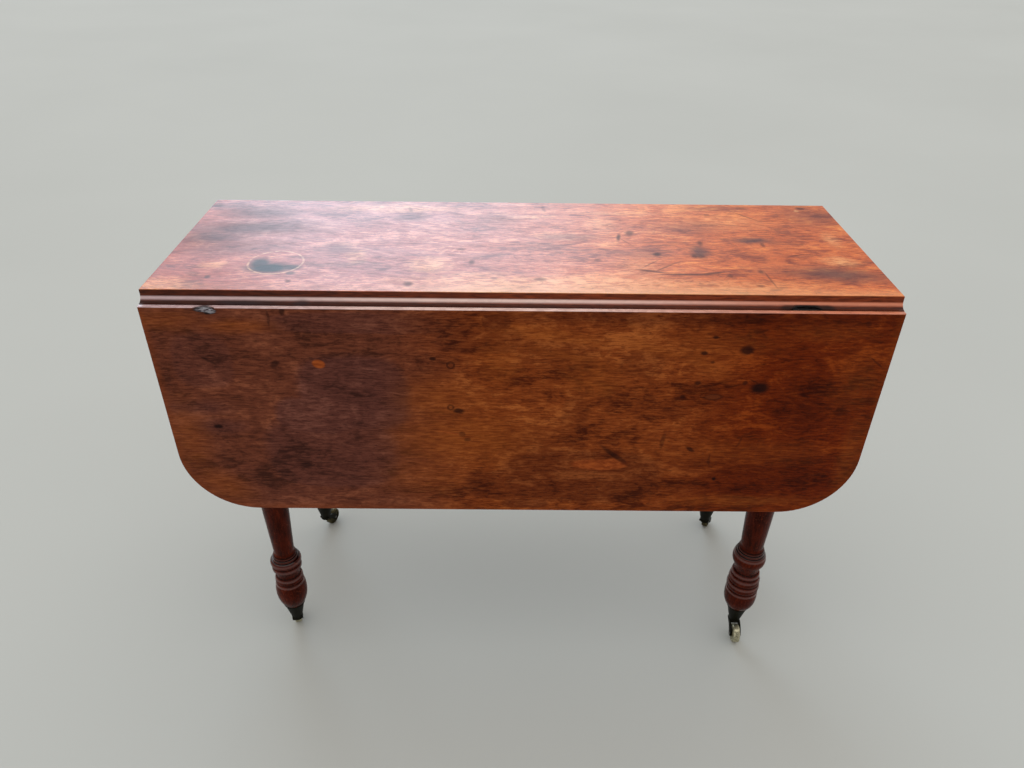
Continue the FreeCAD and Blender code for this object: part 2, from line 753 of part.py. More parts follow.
def cleat_screws(make):
    """Screws up through the front cleat into the top: one near each leg and one between."""
    reach = LEG_INNER_X - CLEAT_SCREW_INSET
    y = -RAIL_IN_Y + RUNNER_WIDTH / 2
    points = [Vector(x, y, OPENING_TOP) for x in (-reach, 0, reach)]
    return [driven(make(TOP_SCREW_LENGTH), point, Z_AXIS) for point in points]


def rail_screws(make):
    """Screws through the inner rail into the fixed outer rail of the front side."""
    reach = FLY_KNUCKLE_X - FLY_SCREW_INSET
    z = (OPENING_BOTTOM + OPENING_TOP) / 2
    points = [Vector(x, -RAIL_IN_Y, z) for x in (-reach, reach)]
    return [driven(make(RAIL_SCREW_LENGTH), point, Vector(0, -1, 0)) for point in points]


def drawer_stops():
    front_in = END_FACE_X - DRAWER_FRONT_THICKNESS - DRAWER_RUN
    x0 = END_FACE_X - DRAWER_RAIL_DEPTH
    half = STOP_LENGTH / 2
    low = OPENING_BOTTOM
    high = low + STOP_HEIGHT
    return [box(x0, front_in, y - half, y + half, low, high) for y in (-LEG_INNER_Y / 2, LEG_INNER_Y / 2)]


def glue_blocks():
    """Triangular blocks in the corner of the left end rail and the top."""
    x = -END_FACE_X + END_RAIL_THICKNESS
    outline = [(x, UNDERSIDE), (x, UNDERSIDE - GLUE_BLOCK_LEG), (x + GLUE_BLOCK_LEG, UNDERSIDE)]
    half = GLUE_BLOCK_LENGTH / 2
    return [extruded_along_y(outline, y - half, y + half) for y in (-LEG_INNER_Y / 2, LEG_INNER_Y / 2)]


# Casters, worked out with the swivel on the Z axis and the wheel trailing toward +X

def caster_cup():
    """Tapered cup with a beaded rim, bored through its floor for the spindle."""
    inner_bottom = CUP_BOTTOM + CUP_FLOOR
    inner_bottom_radius = CUP_BOTTOM_RADIUS + cup_slope() * CUP_FLOOR - CUP_WALL
    bead_radius = CUP_TOP_RADIUS - cup_slope() * CUP_BEAD_HEIGHT
    return revolved([
        (SPINDLE_RADIUS + RUNNING_FIT, CUP_BOTTOM),
        (CUP_BOTTOM_RADIUS, CUP_BOTTOM),
        (bead_radius, CUP_RIM - CUP_BEAD_HEIGHT),
        (CUP_TOP_RADIUS, CUP_RIM, CUP_BEAD_BULGE),
        (CUP_TOP_RADIUS - CUP_WALL, CUP_RIM),
        (inner_bottom_radius, inner_bottom),
        (SPINDLE_RADIUS + RUNNING_FIT, inner_bottom),
    ])


def caster_fork():
    """Swivel crown with a riveted spindle, hollowed over the wheel, and two horns for the axle."""
    crown_top = CUP_BOTTOM - SWIVEL_GAP
    crown_low = crown_top - CROWN_HEIGHT
    head_low = CUP_BOTTOM + CUP_FLOOR + SWIVEL_GAP
    spindle = revolved([
        (0, crown_low),
        (CROWN_RADIUS, crown_low),
        (CROWN_RADIUS, crown_top - CROWN_EDGE),
        (CROWN_RADIUS - CROWN_EDGE, crown_top),
        (SPINDLE_RADIUS, crown_top),
        (SPINDLE_RADIUS, head_low),
        (SPINDLE_HEAD_RADIUS, head_low),
        (SPINDLE_HEAD_RADIUS, head_low + SPINDLE_HEAD_HEIGHT / 2),
        (SPINDLE_RADIUS, head_low + SPINDLE_HEAD_HEIGHT),
        (0, head_low + SPINDLE_HEAD_HEIGHT),
    ])
    axle_x = CASTER_TRAIL
    axle_z = WHEEL_RADIUS
    horn = [
        (-HORN_ROOT, crown_top - CROWN_EDGE),
        (-HORN_ROOT, crown_low),
        (axle_x - AXLE_BOSS_RADIUS, axle_z, -HORN_HOLLOW),
        (axle_x + AXLE_BOSS_RADIUS, axle_z, AXLE_BOSS_RADIUS),
        (HORN_ROOT, crown_top - CROWN_EDGE, HORN_BULGE),
    ]
    inner = WHEEL_WIDTH / 2 + WHEEL_SIDE_ROOM
    horns = [extruded_along_y(horn, y, y + HORN_THICKNESS) for y in (inner, -inner - HORN_THICKNESS)]
    wheel_room = rod(WHEEL_RADIUS + WHEEL_TREAD_ROOM, 2 * inner, Vector(axle_x, -inner, axle_z), Y_AXIS)
    hole_length = 2 * (inner + HORN_THICKNESS)
    hole = rod(AXLE_RADIUS + PRESSED_FIT, hole_length, Vector(axle_x, -hole_length / 2, axle_z), Y_AXIS)
    return joined([spindle] + horns).cut(wheel_room).cut(hole)


def caster_axle():
    length = 2 * (WHEEL_WIDTH / 2 + WHEEL_SIDE_ROOM + HORN_THICKNESS)
    return rod(AXLE_RADIUS, length, Vector(CASTER_TRAIL, -length / 2, WHEEL_RADIUS), Y_AXIS)


def caster_wheel():
    """Brass wheel with eased tread edges and dished sides round a hub."""
    half = WHEEL_WIDTH / 2
    bore = AXLE_RADIUS + RUNNING_FIT
    rim = WHEEL_RADIUS - 2 * WHEEL_EDGE
    wheel = revolved([
        (bore, -half),
        (WHEEL_HUB_RADIUS, -half),
        (WHEEL_HUB_RADIUS, -half + WHEEL_DISH),
        (rim, -half + WHEEL_DISH),
        (rim, -half),
        (WHEEL_RADIUS - WHEEL_EDGE, -half),
        (WHEEL_RADIUS, -half + WHEEL_EDGE, WHEEL_EDGE_BULGE),
        (WHEEL_RADIUS, half - WHEEL_EDGE),
        (WHEEL_RADIUS - WHEEL_EDGE, half, WHEEL_EDGE_BULGE),
        (rim, half),
        (rim, half - WHEEL_DISH),
        (WHEEL_HUB_RADIUS, half - WHEEL_DISH),
        (WHEEL_HUB_RADIUS, half),
        (bore, half),
    ])
    upright = turned_about(wheel, X_AXIS, 90)
    return moved(upright, Vector(CASTER_TRAIL, 0, WHEEL_RADIUS))


# Each corner's place, the pattern of its leg and the way its wheel trails at rest, in degrees from +X
CORNERS = {
    "front_left": Vector(-LEG_X, -LEG_Y, 0),
    "front_right": Vector(LEG_X, -LEG_Y, 0),
    "rear_left": Vector(-LEG_X, LEG_Y, 0),
    "rear_right": Vector(LEG_X, LEG_Y, 0),
}
PATTERNS = {
    "front_left": LEFT_PATTERN,
    "front_right": RIGHT_PATTERN,
    "rear_left": LEFT_PATTERN,
    "rear_right": RIGHT_PATTERN,
}
TRAIL_ANGLES = {"front_left": 109.0, "front_right": -92.0, "rear_left": 65.0, "rear_right": 62.0}


def save_boards_and_hinges():
    top = top_board()
    for room in at_hinges(hinge_room_in_top()):
        top = top.cut(room).cut(to_rear(room))
    for hole in cleat_screws(screw_hole):
        top = top.cut(hole).cut(to_rear(hole))
    save("top_board", top)

    leaf_mortise = plate_mortise(COVE_RADIUS - RULE_GAP, LEAF_PLATE_REACH)
    leaf_cuts = joined([leaf_mortise] + hinge_screws(LEAF_PLATE_REACH, screw_hole))
    leaf = moved(hanging(raised_leaf()), Vector(0, -PIN_Y, PIN_Z))
    for cut in at_hinges(hanging(flipped(leaf_cuts))):
        leaf = leaf.cut(cut)

    top_plate = hinge_holes(hinge_plate(0, TOP_PLATE_REACH, PRESSED_FIT), TOP_PLATE_REACH)
    leaf_plate = hinge_holes(hinge_plate(1, LEAF_PLATE_REACH, RUNNING_FIT), LEAF_PLATE_REACH)
    pin = rod(HINGE_PIN_RADIUS, HINGE_WIDTH, Vector(-HINGE_WIDTH / 2, 0, 0), X_AXIS)
    top_screws = []
    leaf_screws = []
    for piece in hinge_screws(TOP_PLATE_REACH, screw):
        top_screws += at_hinges(piece)
    for piece in hinge_screws(LEAF_PLATE_REACH, screw):
        leaf_screws += at_hinges(hanging(flipped(piece)))
    groups = {
        "leaf": [leaf],
        "hinge_top_plates": at_hinges(top_plate),
        "hinge_leaf_plates": at_hinges(hanging(flipped(leaf_plate))),
        "hinge_pins": at_hinges(pin),
        "hinge_top_screws": top_screws,
        "hinge_leaf_screws": leaf_screws,
    }
    for name, solids in groups.items():
        save("front_" + name, solids)
        save("rear_" + name, [to_rear(solid) for solid in solids])


def save_frame():
    rail = side_rail()
    left_end = end_rail()
    lower = lower_drawer_rail()
    upper = upper_drawer_rail()
    tenoned = [rail, to_rear(rail), left_end, lower, upper]
    for corner, place in CORNERS.items():
        leg = moved(plain_leg(PATTERNS[corner]), place)
        for piece in tenoned:
            leg = leg.cut(piece)
        save("leg_" + corner, leg)
    save("left_end_rail", left_end)
    save("lower_drawer_rail", lower)
    save("upper_drawer_rail", upper)

    fly = fly_rail()
    strip = cleat()
    for hole in rail_screws(screw_hole):
        rail = rail.cut(hole)
        fly = fly.cut(hole)
    for hole in cleat_screws(screw_hole):
        strip = strip.cut(hole)
    for name, shape in (("inner_rail", rail), ("outer_rail", fly), ("top_cleat", strip)):
        save("front_" + name, shape)
        save("rear_" + name, to_rear(shape))
    brackets = {"left": fly_bracket(-1), "right": fly_bracket(1)}
    for hand, bracket in brackets.items():
        opposite = "right" if hand == "left" else "left"
        save("front_fly_bracket_" + hand, bracket)
        save("rear_fly_bracket_" + opposite, to_rear(bracket))
    front_pins = [fly_pin(-1), fly_pin(1)]
    save("fly_bracket_pins", front_pins + [to_rear(pin) for pin in front_pins])
    screws = rail_screws(screw)
    save("outer_rail_screws", screws + [to_rear(item) for item in screws])
    screws = cleat_screws(screw)
    save("top_screws", screws + [to_rear(item) for item in screws])
    save("glue_blocks", glue_blocks())


def save_drawer():
    front, front_side, rear_side, back, bottom = drawer_pieces()
    save("drawer_front", front)
    save("drawer_side_front", front_side)
    save("drawer_side_rear", rear_side)
    save("drawer_back", back)
    save("drawer_bottom", bottom)
    save("drawer_knob", drawer_knob())
    ledge = runner()
    save("drawer_runner_front", ledge)
    save("drawer_runner_rear", to_back_hand(ledge))
    save("drawer_stops", drawer_stops())


def save_casters():
    pieces = {
        "caster_cup": caster_cup(),
        "caster_fork": caster_fork(),
        "caster_axle": caster_axle(),
        "caster_wheel": caster_wheel(),
    }
    for corner, place in CORNERS.items():
        for name, shape in pieces.items():
            turned = turned_about(shape, Z_AXIS, TRAIL_ANGLES[corner])
            save(name + "_" + corner, moved(turned, place))


os.makedirs("parts", exist_ok=True)
save_boards_and_hinges()
save_frame()
save_drawer()
save_casters()
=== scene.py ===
# %% [markdown]
# A drop-leaf table with turned legs and brass casters, finished for a likeness of an old, much used piece.
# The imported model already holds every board, leg, hinge and caster at its true size and place. This lesson
# adds what a restorer would see: eased arrises, chips, worn polish, figure in the wood and patina on the
# brass.

# %% Load the frame
import math

import bmesh
import bpy
from mathutils import Matrix, Vector


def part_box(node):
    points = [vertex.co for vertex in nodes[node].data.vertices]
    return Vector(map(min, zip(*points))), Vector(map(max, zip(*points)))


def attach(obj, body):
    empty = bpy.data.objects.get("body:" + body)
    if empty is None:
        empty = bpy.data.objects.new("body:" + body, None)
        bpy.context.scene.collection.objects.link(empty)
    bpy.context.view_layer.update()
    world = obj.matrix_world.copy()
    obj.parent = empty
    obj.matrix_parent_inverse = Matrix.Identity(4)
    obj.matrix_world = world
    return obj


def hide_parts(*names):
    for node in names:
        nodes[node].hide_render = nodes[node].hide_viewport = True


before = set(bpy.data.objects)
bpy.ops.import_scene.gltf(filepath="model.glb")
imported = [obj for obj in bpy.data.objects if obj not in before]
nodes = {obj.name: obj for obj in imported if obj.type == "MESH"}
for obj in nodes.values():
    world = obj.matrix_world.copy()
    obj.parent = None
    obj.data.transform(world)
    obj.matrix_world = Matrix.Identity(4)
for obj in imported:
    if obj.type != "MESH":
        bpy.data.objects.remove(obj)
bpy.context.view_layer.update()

# %% [markdown]
# The camera stands in front of the hanging leaf, about half a metre above the table top, and looks down on
# it. The place and the three angles were solved from the corners of the top and the leaf. The lens is as
# wide as a phone's, given as millimetres on a 36 mm frame.

# %% Camera
CAMERA_PLACE = Vector((-0.0185, -1.132, 1.2119))
CAMERA_TURN = math.radians(-0.33)
CAMERA_TILT = math.radians(56.66)
CAMERA_ROLL = math.radians(0.69)
LENS_MM = 27.71
SENSOR_MM = 36.0
NEAREST_SEEN = 0.01

camera_data = bpy.data.cameras.new("photographer")
camera_data.sensor_width = SENSOR_MM
camera_data.lens = LENS_MM
camera_data.clip_start = NEAREST_SEEN
camera = bpy.data.objects.new("photographer", camera_data)
camera.matrix_world = (
    Matrix.Translation(CAMERA_PLACE)
    @ Matrix.Rotation(CAMERA_TURN, 4, "Z")
    @ Matrix.Rotation(CAMERA_TILT, 4, "X")
    @ Matrix.Rotation(CAMERA_ROLL, 4, "Z")
)
bpy.context.scene.collection.objects.link(camera)
bpy.context.scene.camera = camera
print("camera at", tuple(round(v, 3) for v in CAMERA_PLACE), "lens", LENS_MM)

# %% [markdown]
# The table stands on a plain pale floor. A floor that is only a plane has a hard far edge, so it is made
# large enough for its edge to fall outside the picture.

# %% Floor
FLOOR_SIZE = 60.0
FLOOR_PLACE = (0, 12.0, 0)


def deselect_all():
    for item in bpy.context.selected_objects:
        item.select_set(False)
    bpy.context.view_layer.objects.active = None


deselect_all()
bpy.ops.mesh.primitive_plane_add(size=FLOOR_SIZE, location=FLOOR_PLACE)
floor = bpy.context.object
floor.name = "floor"
print("floor", floor.dimensions[:2])

# %% [markdown]
# Light and finishes are trees of shader nodes. Add makes a node and sets its sockets. The other helpers
# each make one common step, from plain values or from the outputs of other nodes. A Mix node takes its
# colours in sockets 6 and 7.

# %% Shader helpers
def add(tree, kind, values=None, links=None, **settings):
    made = tree.nodes.new(kind)
    for key, value in settings.items():
        setattr(made, key, value)
    for key, value in (values or {}).items():
        made.inputs[key].default_value = value
    for key, socket in (links or {}).items():
        tree.links.new(socket, made.inputs[key])
    return made


def maths(tree, operation, first, second=0.0, clamp=False):
    made = add(tree, "ShaderNodeMath", operation=operation, use_clamp=clamp)
    for index, value in enumerate((first, second)):
        if isinstance(value, (int, float)):
            made.inputs[index].default_value = value
        else:
            tree.links.new(value, made.inputs[index])
    return made.outputs[0]


def times(tree, first, second):
    return maths(tree, "MULTIPLY", first, second)


def strongest(tree, first, second):
    return maths(tree, "MAXIMUM", first, second)


def vectors(tree, operation, first, second=None):
    given = {0: first} if second is None else {0: first, 1: second}
    values = {index: value for index, value in given.items() if isinstance(value, tuple)}
    links = {index: value for index, value in given.items() if index not in values}
    return add(tree, "ShaderNodeVectorMath", values, links, operation=operation).outputs


def mix_colours(tree, factor, first, second, blend="MIX"):
    made = add(tree, "ShaderNodeMix", data_type="RGBA", blend_type=blend)
    for index, value in ((0, factor), (6, first), (7, second)):
        if isinstance(value, (int, float, tuple)):
            made.inputs[index].default_value = value
        else:
            tree.links.new(value, made.inputs[index])
    return made.outputs[2]


def lay_on(tree, colour, mask, strength, tone):
    return mix_colours(tree, times(tree, mask, strength), colour, tone)


def spread(tree, value, low, high, out_low=0.0, out_high=1.0):
    ends = {1: low, 2: high, 3: out_low, 4: out_high}
    return add(tree, "ShaderNodeMapRange", ends, {0: value}, interpolation_type="SMOOTHSTEP").outputs[0]


def noise(tree, vector, stretch, detail=4.0, roughness=0.55, distortion=0.0, shift=(0, 0, 0)):
    placed = add(tree, "ShaderNodeMapping", {"Scale": stretch, "Location": shift}, {"Vector": vector})
    values = {"Scale": 1.0, "Detail": detail, "Roughness": roughness, "Distortion": distortion}
    return add(tree, "ShaderNodeTexNoise", values, {"Vector": placed.outputs[0]}).outputs["Fac"]


print("shader helpers ready")

# %% [markdown]
# Light. A plain studio would hang a white cloth over the table: bright overhead, dimmer toward the floor.
# The polish on the top also shows a broad, cool sheen, so the cloth has one brighter part behind the table
# and a little to the left, where the top mirrors it toward the camera. A world that depends only on
# direction gives both, with no lamp edge on the floor. A camera that looks past the table sees a plain
# backdrop instead.

# %% Light
OVERHEAD_LEVEL = 1.05
OVERHEAD_RISE = 0.9
HORIZON_LEVEL = 0.42
SHEEN_LEVEL = 3.1
SHEEN_EDGE = 0.88
SHEEN_CORE = 0.985
SHEEN_DIRECTION = Vector((-0.22, 1.0, 0.43)).normalized()
BACKDROP_LEVEL = 0.62
CLOTH_COLOUR = (1.0, 0.99, 0.97, 1)
SHEEN_COLOUR = (0.84, 1.0, 1.18, 1)

world = bpy.data.worlds.new("studio_cloth")
world.use_nodes = True
cloth = world.node_tree
background = cloth.nodes["Background"]
direction = add(cloth, "ShaderNodeTexCoord").outputs["Generated"]
rise = add(cloth, "ShaderNodeSeparateXYZ", links={0: direction}).outputs["Z"]
toward = vectors(cloth, "DOT_PRODUCT", direction, tuple(SHEEN_DIRECTION))["Value"]
dome = spread(cloth, rise, 0.0, OVERHEAD_RISE, HORIZON_LEVEL, OVERHEAD_LEVEL)
sheen = spread(cloth, toward, SHEEN_EDGE, SHEEN_CORE)
cloth.links.new(mix_colours(cloth, sheen, CLOTH_COLOUR, SHEEN_COLOUR), background.inputs["Color"])
level = add(cloth, "ShaderNodeMath", {1: SHEEN_LEVEL}, {0: sheen, 2: dome}, operation="MULTIPLY_ADD")
cloth.links.new(level.outputs[0], background.inputs["Strength"])
backdrop = add(cloth, "ShaderNodeBackground", {"Color": CLOTH_COLOUR, "Strength": BACKDROP_LEVEL})
seen = add(cloth, "ShaderNodeMixShader", links={1: background.outputs[0], 2: backdrop.outputs[0]})
cloth.links.new(add(cloth, "ShaderNodeLightPath").outputs["Is Camera Ray"], seen.inputs[0])
cloth.links.new(seen.outputs[0], cloth.nodes["World Output"].inputs["Surface"])
bpy.context.scene.world = world
bpy.context.scene.view_settings.view_transform = "Standard"
print("light from", world.name, "sheen toward", tuple(round(v, 2) for v in SHEEN_DIRECTION))

# %% [markdown]
# Colours are easiest to judge as they appear on a screen, from 0 to 255, while shaders want linear light.
# The curve of a standard screen turns the one into the other, so every finish below can be read as an
# ordinary paint colour.

# %% Paint colours
def linear_light(share):
    return ((share + 0.055) / 1.055) ** 2.4 if share > 0.04 else share / 12.92


def paint(red, green, blue):
    return (*[linear_light(value / 255) for value in (red, green, blue)], 1.0)


print("mahogany, for instance:", tuple(round(v, 3) for v in paint(128, 62, 36)))

# %% [markdown]
# Wood first, because nearly everything here is wood. A sawn board shows six things at six scales: broad
# clouds where the stain took unevenly, blotches the size of a thumb where old polish has gathered, ribbons
# that run with the grain, short flecks that catch the light, fine fibre streaks, and the dark dashes of
# open pores. The group makes all six as masks from stretched noise, with the grain along X. A piece whose
# grain runs another way turns its coordinates before they enter. Each layer has its stretch, detail,
# roughness, distortion and shift, and the two levels between which its mask rises.

# %% Wood grain group
GRAIN_LAYERS = [
    ("Clouds", (5.0, 10.0, 10.0), 6.0, 0.64, 0.5, (0, 0, 0), (0.32, 0.68)),
    ("Blotches", (15.0, 30.0, 30.0), 6.0, 0.66, 0.8, (6, 2, 8), (0.32, 0.68)),
    ("Ribbons", (2.4, 34.0, 34.0), 5.0, 0.62, 0.6, (3, 7, 1), (0.3, 0.7)),
    ("Flecks", (60.0, 170.0, 170.0), 4.0, 0.6, 0.6, (2, 9, 4), (0.34, 0.66)),
    ("Fibres", (45.0, 420.0, 420.0), 5.0, 0.65, 0.3, (1, 2, 5), (0.3, 0.7)),
    ("Pores", (110.0, 700.0, 700.0), 2.0, 0.5, 0.0, (4, 1, 2), (0.56, 0.68)),
]


def start_group(name, inputs, outputs):
    group = bpy.data.node_groups.new(name, "ShaderNodeTree")
    for label, kind in inputs:
        group.interface.new_socket(name=label, in_out="INPUT", socket_type="NodeSocket" + kind)
    for label, kind in outputs:
        group.interface.new_socket(name=label, in_out="OUTPUT", socket_type="NodeSocket" + kind)
    return group, group.nodes.new("NodeGroupInput").outputs, group.nodes.new("NodeGroupOutput")


grain_group, grain_in, grain_out = start_group(
    "wood_grain", [("Vector", "Vector")], [(layer[0], "Float") for layer in GRAIN_LAYERS]
)
layers = [noise(grain_group, grain_in["Vector"], *values) for label, *values, ends in GRAIN_LAYERS]
for layer, (label, *values, ends) in zip(layers, GRAIN_LAYERS):
    grain_group.links.new(spread(grain_group, layer, *ends), grain_out.inputs[label])
print("group:", grain_group.name, [item.name for item in grain_group.interface.items_tree])

# %% [markdown]
# Stains, dents and rubbed places are all one shape to a shader: a patch with a place, a half size, a turn,
# a corner shape and a soft or hard edge. Each use of the group lays one patch over the patches before it
# and keeps the stronger of the two, so a whole history of marks becomes one mask. A row of a list of marks
# holds a place across and up, a half size across and up, all in millimetres, then a turn in degrees and a
# strength.

# %% Mark group
mark_group, mark_in, mark_out = start_group(
    "worn_mark",
    [
        ("Under", "Float"), ("Flat", "Vector"), ("Place", "Vector"), ("Half Size", "Vector"),
        ("Turn", "Float"), ("Squareness", "Float"), ("Softness", "Float"), ("Strength", "Float"),
    ],
    [("Mask", "Float")],
)
from_place = vectors(mark_group, "SUBTRACT", mark_in["Flat"], mark_in["Place"])["Vector"]
turn_links = {"Vector": from_place, "Angle": mark_in["Turn"]}
turned = add(mark_group, "ShaderNodeVectorRotate", links=turn_links, rotation_type="Z_AXIS")
share = vectors(mark_group, "DIVIDE", turned.outputs[0], mark_in["Half Size"])["Vector"]
size = vectors(mark_group, "ABSOLUTE", share)["Vector"]
corner = add(mark_group, "ShaderNodeCombineXYZ", links={axis: mark_in["Squareness"] for axis in (0, 1, 2)})
powers = vectors(mark_group, "POWER", size, corner.outputs[0])["Vector"]
summed = vectors(mark_group, "DOT_PRODUCT", powers, (1, 1, 0))["Value"]
root = maths(mark_group, "DIVIDE", 1.0, mark_in["Squareness"])
distance = maths(mark_group, "POWER", summed, root)
inner = maths(mark_group, "SUBTRACT", 1.0, mark_in["Softness"])
outer = maths(mark_group, "ADD", 1.0, mark_in["Softness"])
fade_links = {0: distance, 1: inner, 2: outer}
fade = add(mark_group, "ShaderNodeMapRange", {3: 1.0, 4: 0.0}, fade_links, interpolation_type="SMOOTHSTEP")
laid = times(mark_group, fade.outputs[0], mark_in["Strength"])
mark_group.links.new(strongest(mark_group, laid, mark_in["Under"]), mark_out.inputs["Mask"])


def marks(tree, flat, rows, softness, squareness=2.0):
    links = {"Flat": flat}
    for across, up, half_across, half_up, turn, strength in rows:
        values = {
            "Place": (across, up, 0), "Half Size": (half_across, half_up, 1), "Turn": math.radians(-turn),
            "Squareness": squareness, "Softness": softness, "Strength": strength,
        }
        patch = add(tree, "ShaderNodeGroup", values, links, node_tree=mark_group)
        links = {"Flat": flat, "Under": patch.outputs["Mask"]}
    return patch.outputs["Mask"]


print("group:", mark_group.name, "with", len(mark_group.nodes), "nodes")

# %% [markdown]
# Hands and knees wear a board most along its edge. The rim group measures how far a point lies inside a
# rectangle with rounded corners, the plan of a leaf, and turns the outermost strip, as wide as Depth, into
# a mask.

# %% Rim group
rim_group, rim_in, rim_out = start_group(
    "worn_rim",
    [
        ("Flat", "Vector"), ("Centre", "Vector"), ("Half Size", "Vector"),
        ("Corner", "Float"), ("Depth", "Float"),
    ],
    [("Mask", "Float")],
)
from_centre = vectors(rim_group, "SUBTRACT", rim_in["Flat"], rim_in["Centre"])["Vector"]
folded = vectors(rim_group, "ABSOLUTE", from_centre)["Vector"]
beyond = vectors(rim_group, "SUBTRACT", folded, rim_in["Half Size"])["Vector"]
over = add(rim_group, "ShaderNodeSeparateXYZ", links={0: beyond})
reach = [maths(rim_group, "ADD", over.outputs[index], rim_in["Corner"]) for index in (0, 1)]
outside = [strongest(rim_group, value, 0.0) for value in reach]
squares = [times(rim_group, value, value) for value in outside]
corner_reach = maths(rim_group, "SQRT", maths(rim_group, "ADD", *squares))
side_reach = maths(rim_group, "MINIMUM", strongest(rim_group, *reach), 0.0)
past_edge = maths(rim_group, "SUBTRACT", maths(rim_group, "ADD", corner_reach, side_reach), rim_in["Corner"])
depth_share = maths(rim_group, "DIVIDE", past_edge, rim_in["Depth"])
rim_group.links.new(spread(rim_group, depth_share, -1.0, 0.0), rim_out.inputs["Mask"])
print("group:", rim_group.name, "with", len(rim_group.nodes), "nodes")

# %% [markdown]
# Polish gets fine scratches in every direction. Three layers of very long noise, each turned another way,
# are cut down to their crests, which leaves thin broken lines.

# %% Scratch group
SCRATCH_TURNS = ((0.5, 2.0), (-0.9, 5.0), (1.45, 9.0))
SCRATCH_AXIS = (0.2, 1.0, 1.0)
SCRATCH_STRETCH = (9.0, 420.0, 420.0)
SCRATCH_CREST = (0.69, 0.74)

scratch_group, scratch_in, scratch_out = start_group(
    "fine_scratches", [("Vector", "Vector")], [("Mask", "Float")]
)
scratch_layers = []
for turn, shift in SCRATCH_TURNS:
    turn_values = {"Angle": turn, "Axis": SCRATCH_AXIS}
    turn_links = {"Vector": scratch_in["Vector"]}
    turned = add(scratch_group, "ShaderNodeVectorRotate", turn_values, turn_links, rotation_type="AXIS_ANGLE")
    lines = noise(scratch_group, turned.outputs[0], SCRATCH_STRETCH, detail=1.0, shift=(shift, shift, 0))
    scratch_layers.append(spread(scratch_group, lines, *SCRATCH_CREST))
crests = strongest(scratch_group, strongest(scratch_group, *scratch_layers[:2]), scratch_layers[2])
scratch_group.links.new(crests, scratch_out.inputs["Mask"])


def scratch_mask(tree, coords):
    return add(tree, "ShaderNodeGroup", links={"Vector": coords}, node_tree=scratch_group).outputs["Mask"]


print("group:", scratch_group.name, "with", len(scratch_group.nodes), "nodes")

# %% [markdown]
# Helpers for the materials themselves. The first starts a material and hands back its tree, its shader and
# its coordinates. Plug joins a value to an input of the shader. Grain lays the grain group along a chosen
# direction. Flatten turns a board to millimetres and pushes the points about a little, so that no stain has
# a drawn edge.

# %% Material helpers
PUSH = {"Scale": 32.0, "Detail": 5.0, "Roughness": 0.65}
NO_PUSH = (0.5, 0.5, 0.5)
TO_MILLIMETRES = (1000, 1000, 0)


def start_material(name):
    material = bpy.data.materials.new(name)
    material.use_nodes = True
    tree = material.node_tree
    return material, tree, tree.nodes["Principled BSDF"], add(tree, "ShaderNodeTexCoord").outputs["Object"]


def plug(shader, label, value):
    shader.id_data.links.new(value, shader.inputs[label])


def grain(tree, coords, turn=(0, 0, 0)):
    placed = add(tree, "ShaderNodeMapping", {"Rotation": turn}, {"Vector": coords})
    return add(tree, "ShaderNodeGroup", links={"Vector": placed.outputs[0]}, node_tree=grain_group).outputs


def flatten(tree, coords, up, ragged):
    parts = add(tree, "ShaderNodeSeparateXYZ", links={0: coords})
    flat = add(tree, "ShaderNodeCombineXYZ", links={0: parts.outputs["X"], 1: parts.outputs[up]})
    in_millimetres = vectors(tree, "MULTIPLY", flat.outputs[0], TO_MILLIMETRES)["Vector"]
    push = add(tree, "ShaderNodeTexNoise", PUSH, {"Vector": coords})
    centred = vectors(tree, "SUBTRACT", push.outputs["Color"], NO_PUSH)["Vector"]
    scaled = vectors(tree, "MULTIPLY", centred, (ragged, ragged, 0))["Vector"]
    return vectors(tree, "ADD", in_millimetres, scaled)["Vector"]


print("material helpers ready")

# %% [markdown]
# Stained wood goes from a dark through a middle to a light tone. The broad layers of the grain decide
# where, fine fibres streak it both ways, and pores go to the dark tone. The same fibres and pores are dents
# in the surface, so a bump with their depth follows.

# %% Stained wood
TONE_SHARES = (("Clouds", 0.28), ("Blotches", 0.38), ("Ribbons", 0.12), ("Flecks", 0.22))
BRIGHT_FIBRES = 0.3
DARK_FIBRES = 0.5
DARK_PORES = 0.6


def weighted_sum(tree, wood, shares, start=0.0, clamp=False):
    total = start
    for label, part in shares:
        total = maths(tree, "ADD", times(tree, wood[label], part), total, clamp)
    return total


def stained_wood(tree, wood, dark, middle, light):
    tone = weighted_sum(tree, wood, TONE_SHARES)
    low = mix_colours(tree, spread(tree, tone, 0.15, 0.5), dark, middle)
    high = mix_colours(tree, spread(tree, tone, 0.5, 0.85), low, light)
    bright = mix_colours(tree, spread(tree, wood["Fibres"], 0.0, 0.5, BRIGHT_FIBRES, 0.0), high, light)
    streaked = mix_colours(tree, spread(tree, wood["Fibres"], 0.5, 1.0, 0.0, DARK_FIBRES), bright, dark)
    return lay_on(tree, streaked, wood["Pores"], DARK_PORES, dark)


def grain_height(tree, wood, pores=-0.6, fibres=-0.4):
    dashes = times(tree, wood["Pores"], pores)
    return maths(tree, "ADD", dashes, times(tree, wood["Fibres"], fibres))


def bump(tree, shader, height, depth, strength=1.0):
    raised = add(tree, "ShaderNodeBump", {"Strength": strength, "Distance": depth}, {"Height": height})
    plug(shader, "Normal", raised.outputs[0])


print("stained wood from", [label for label, part in TONE_SHARES])

# %% [markdown]
# The top has had the most light, wet glasses and polish. A ring with a blue black bloom inside it, a row of
# dark smudges near the left end, ink dots and an arc shaped scratch are laid on as marks. All positions are
# millimetres from the middle of the top.

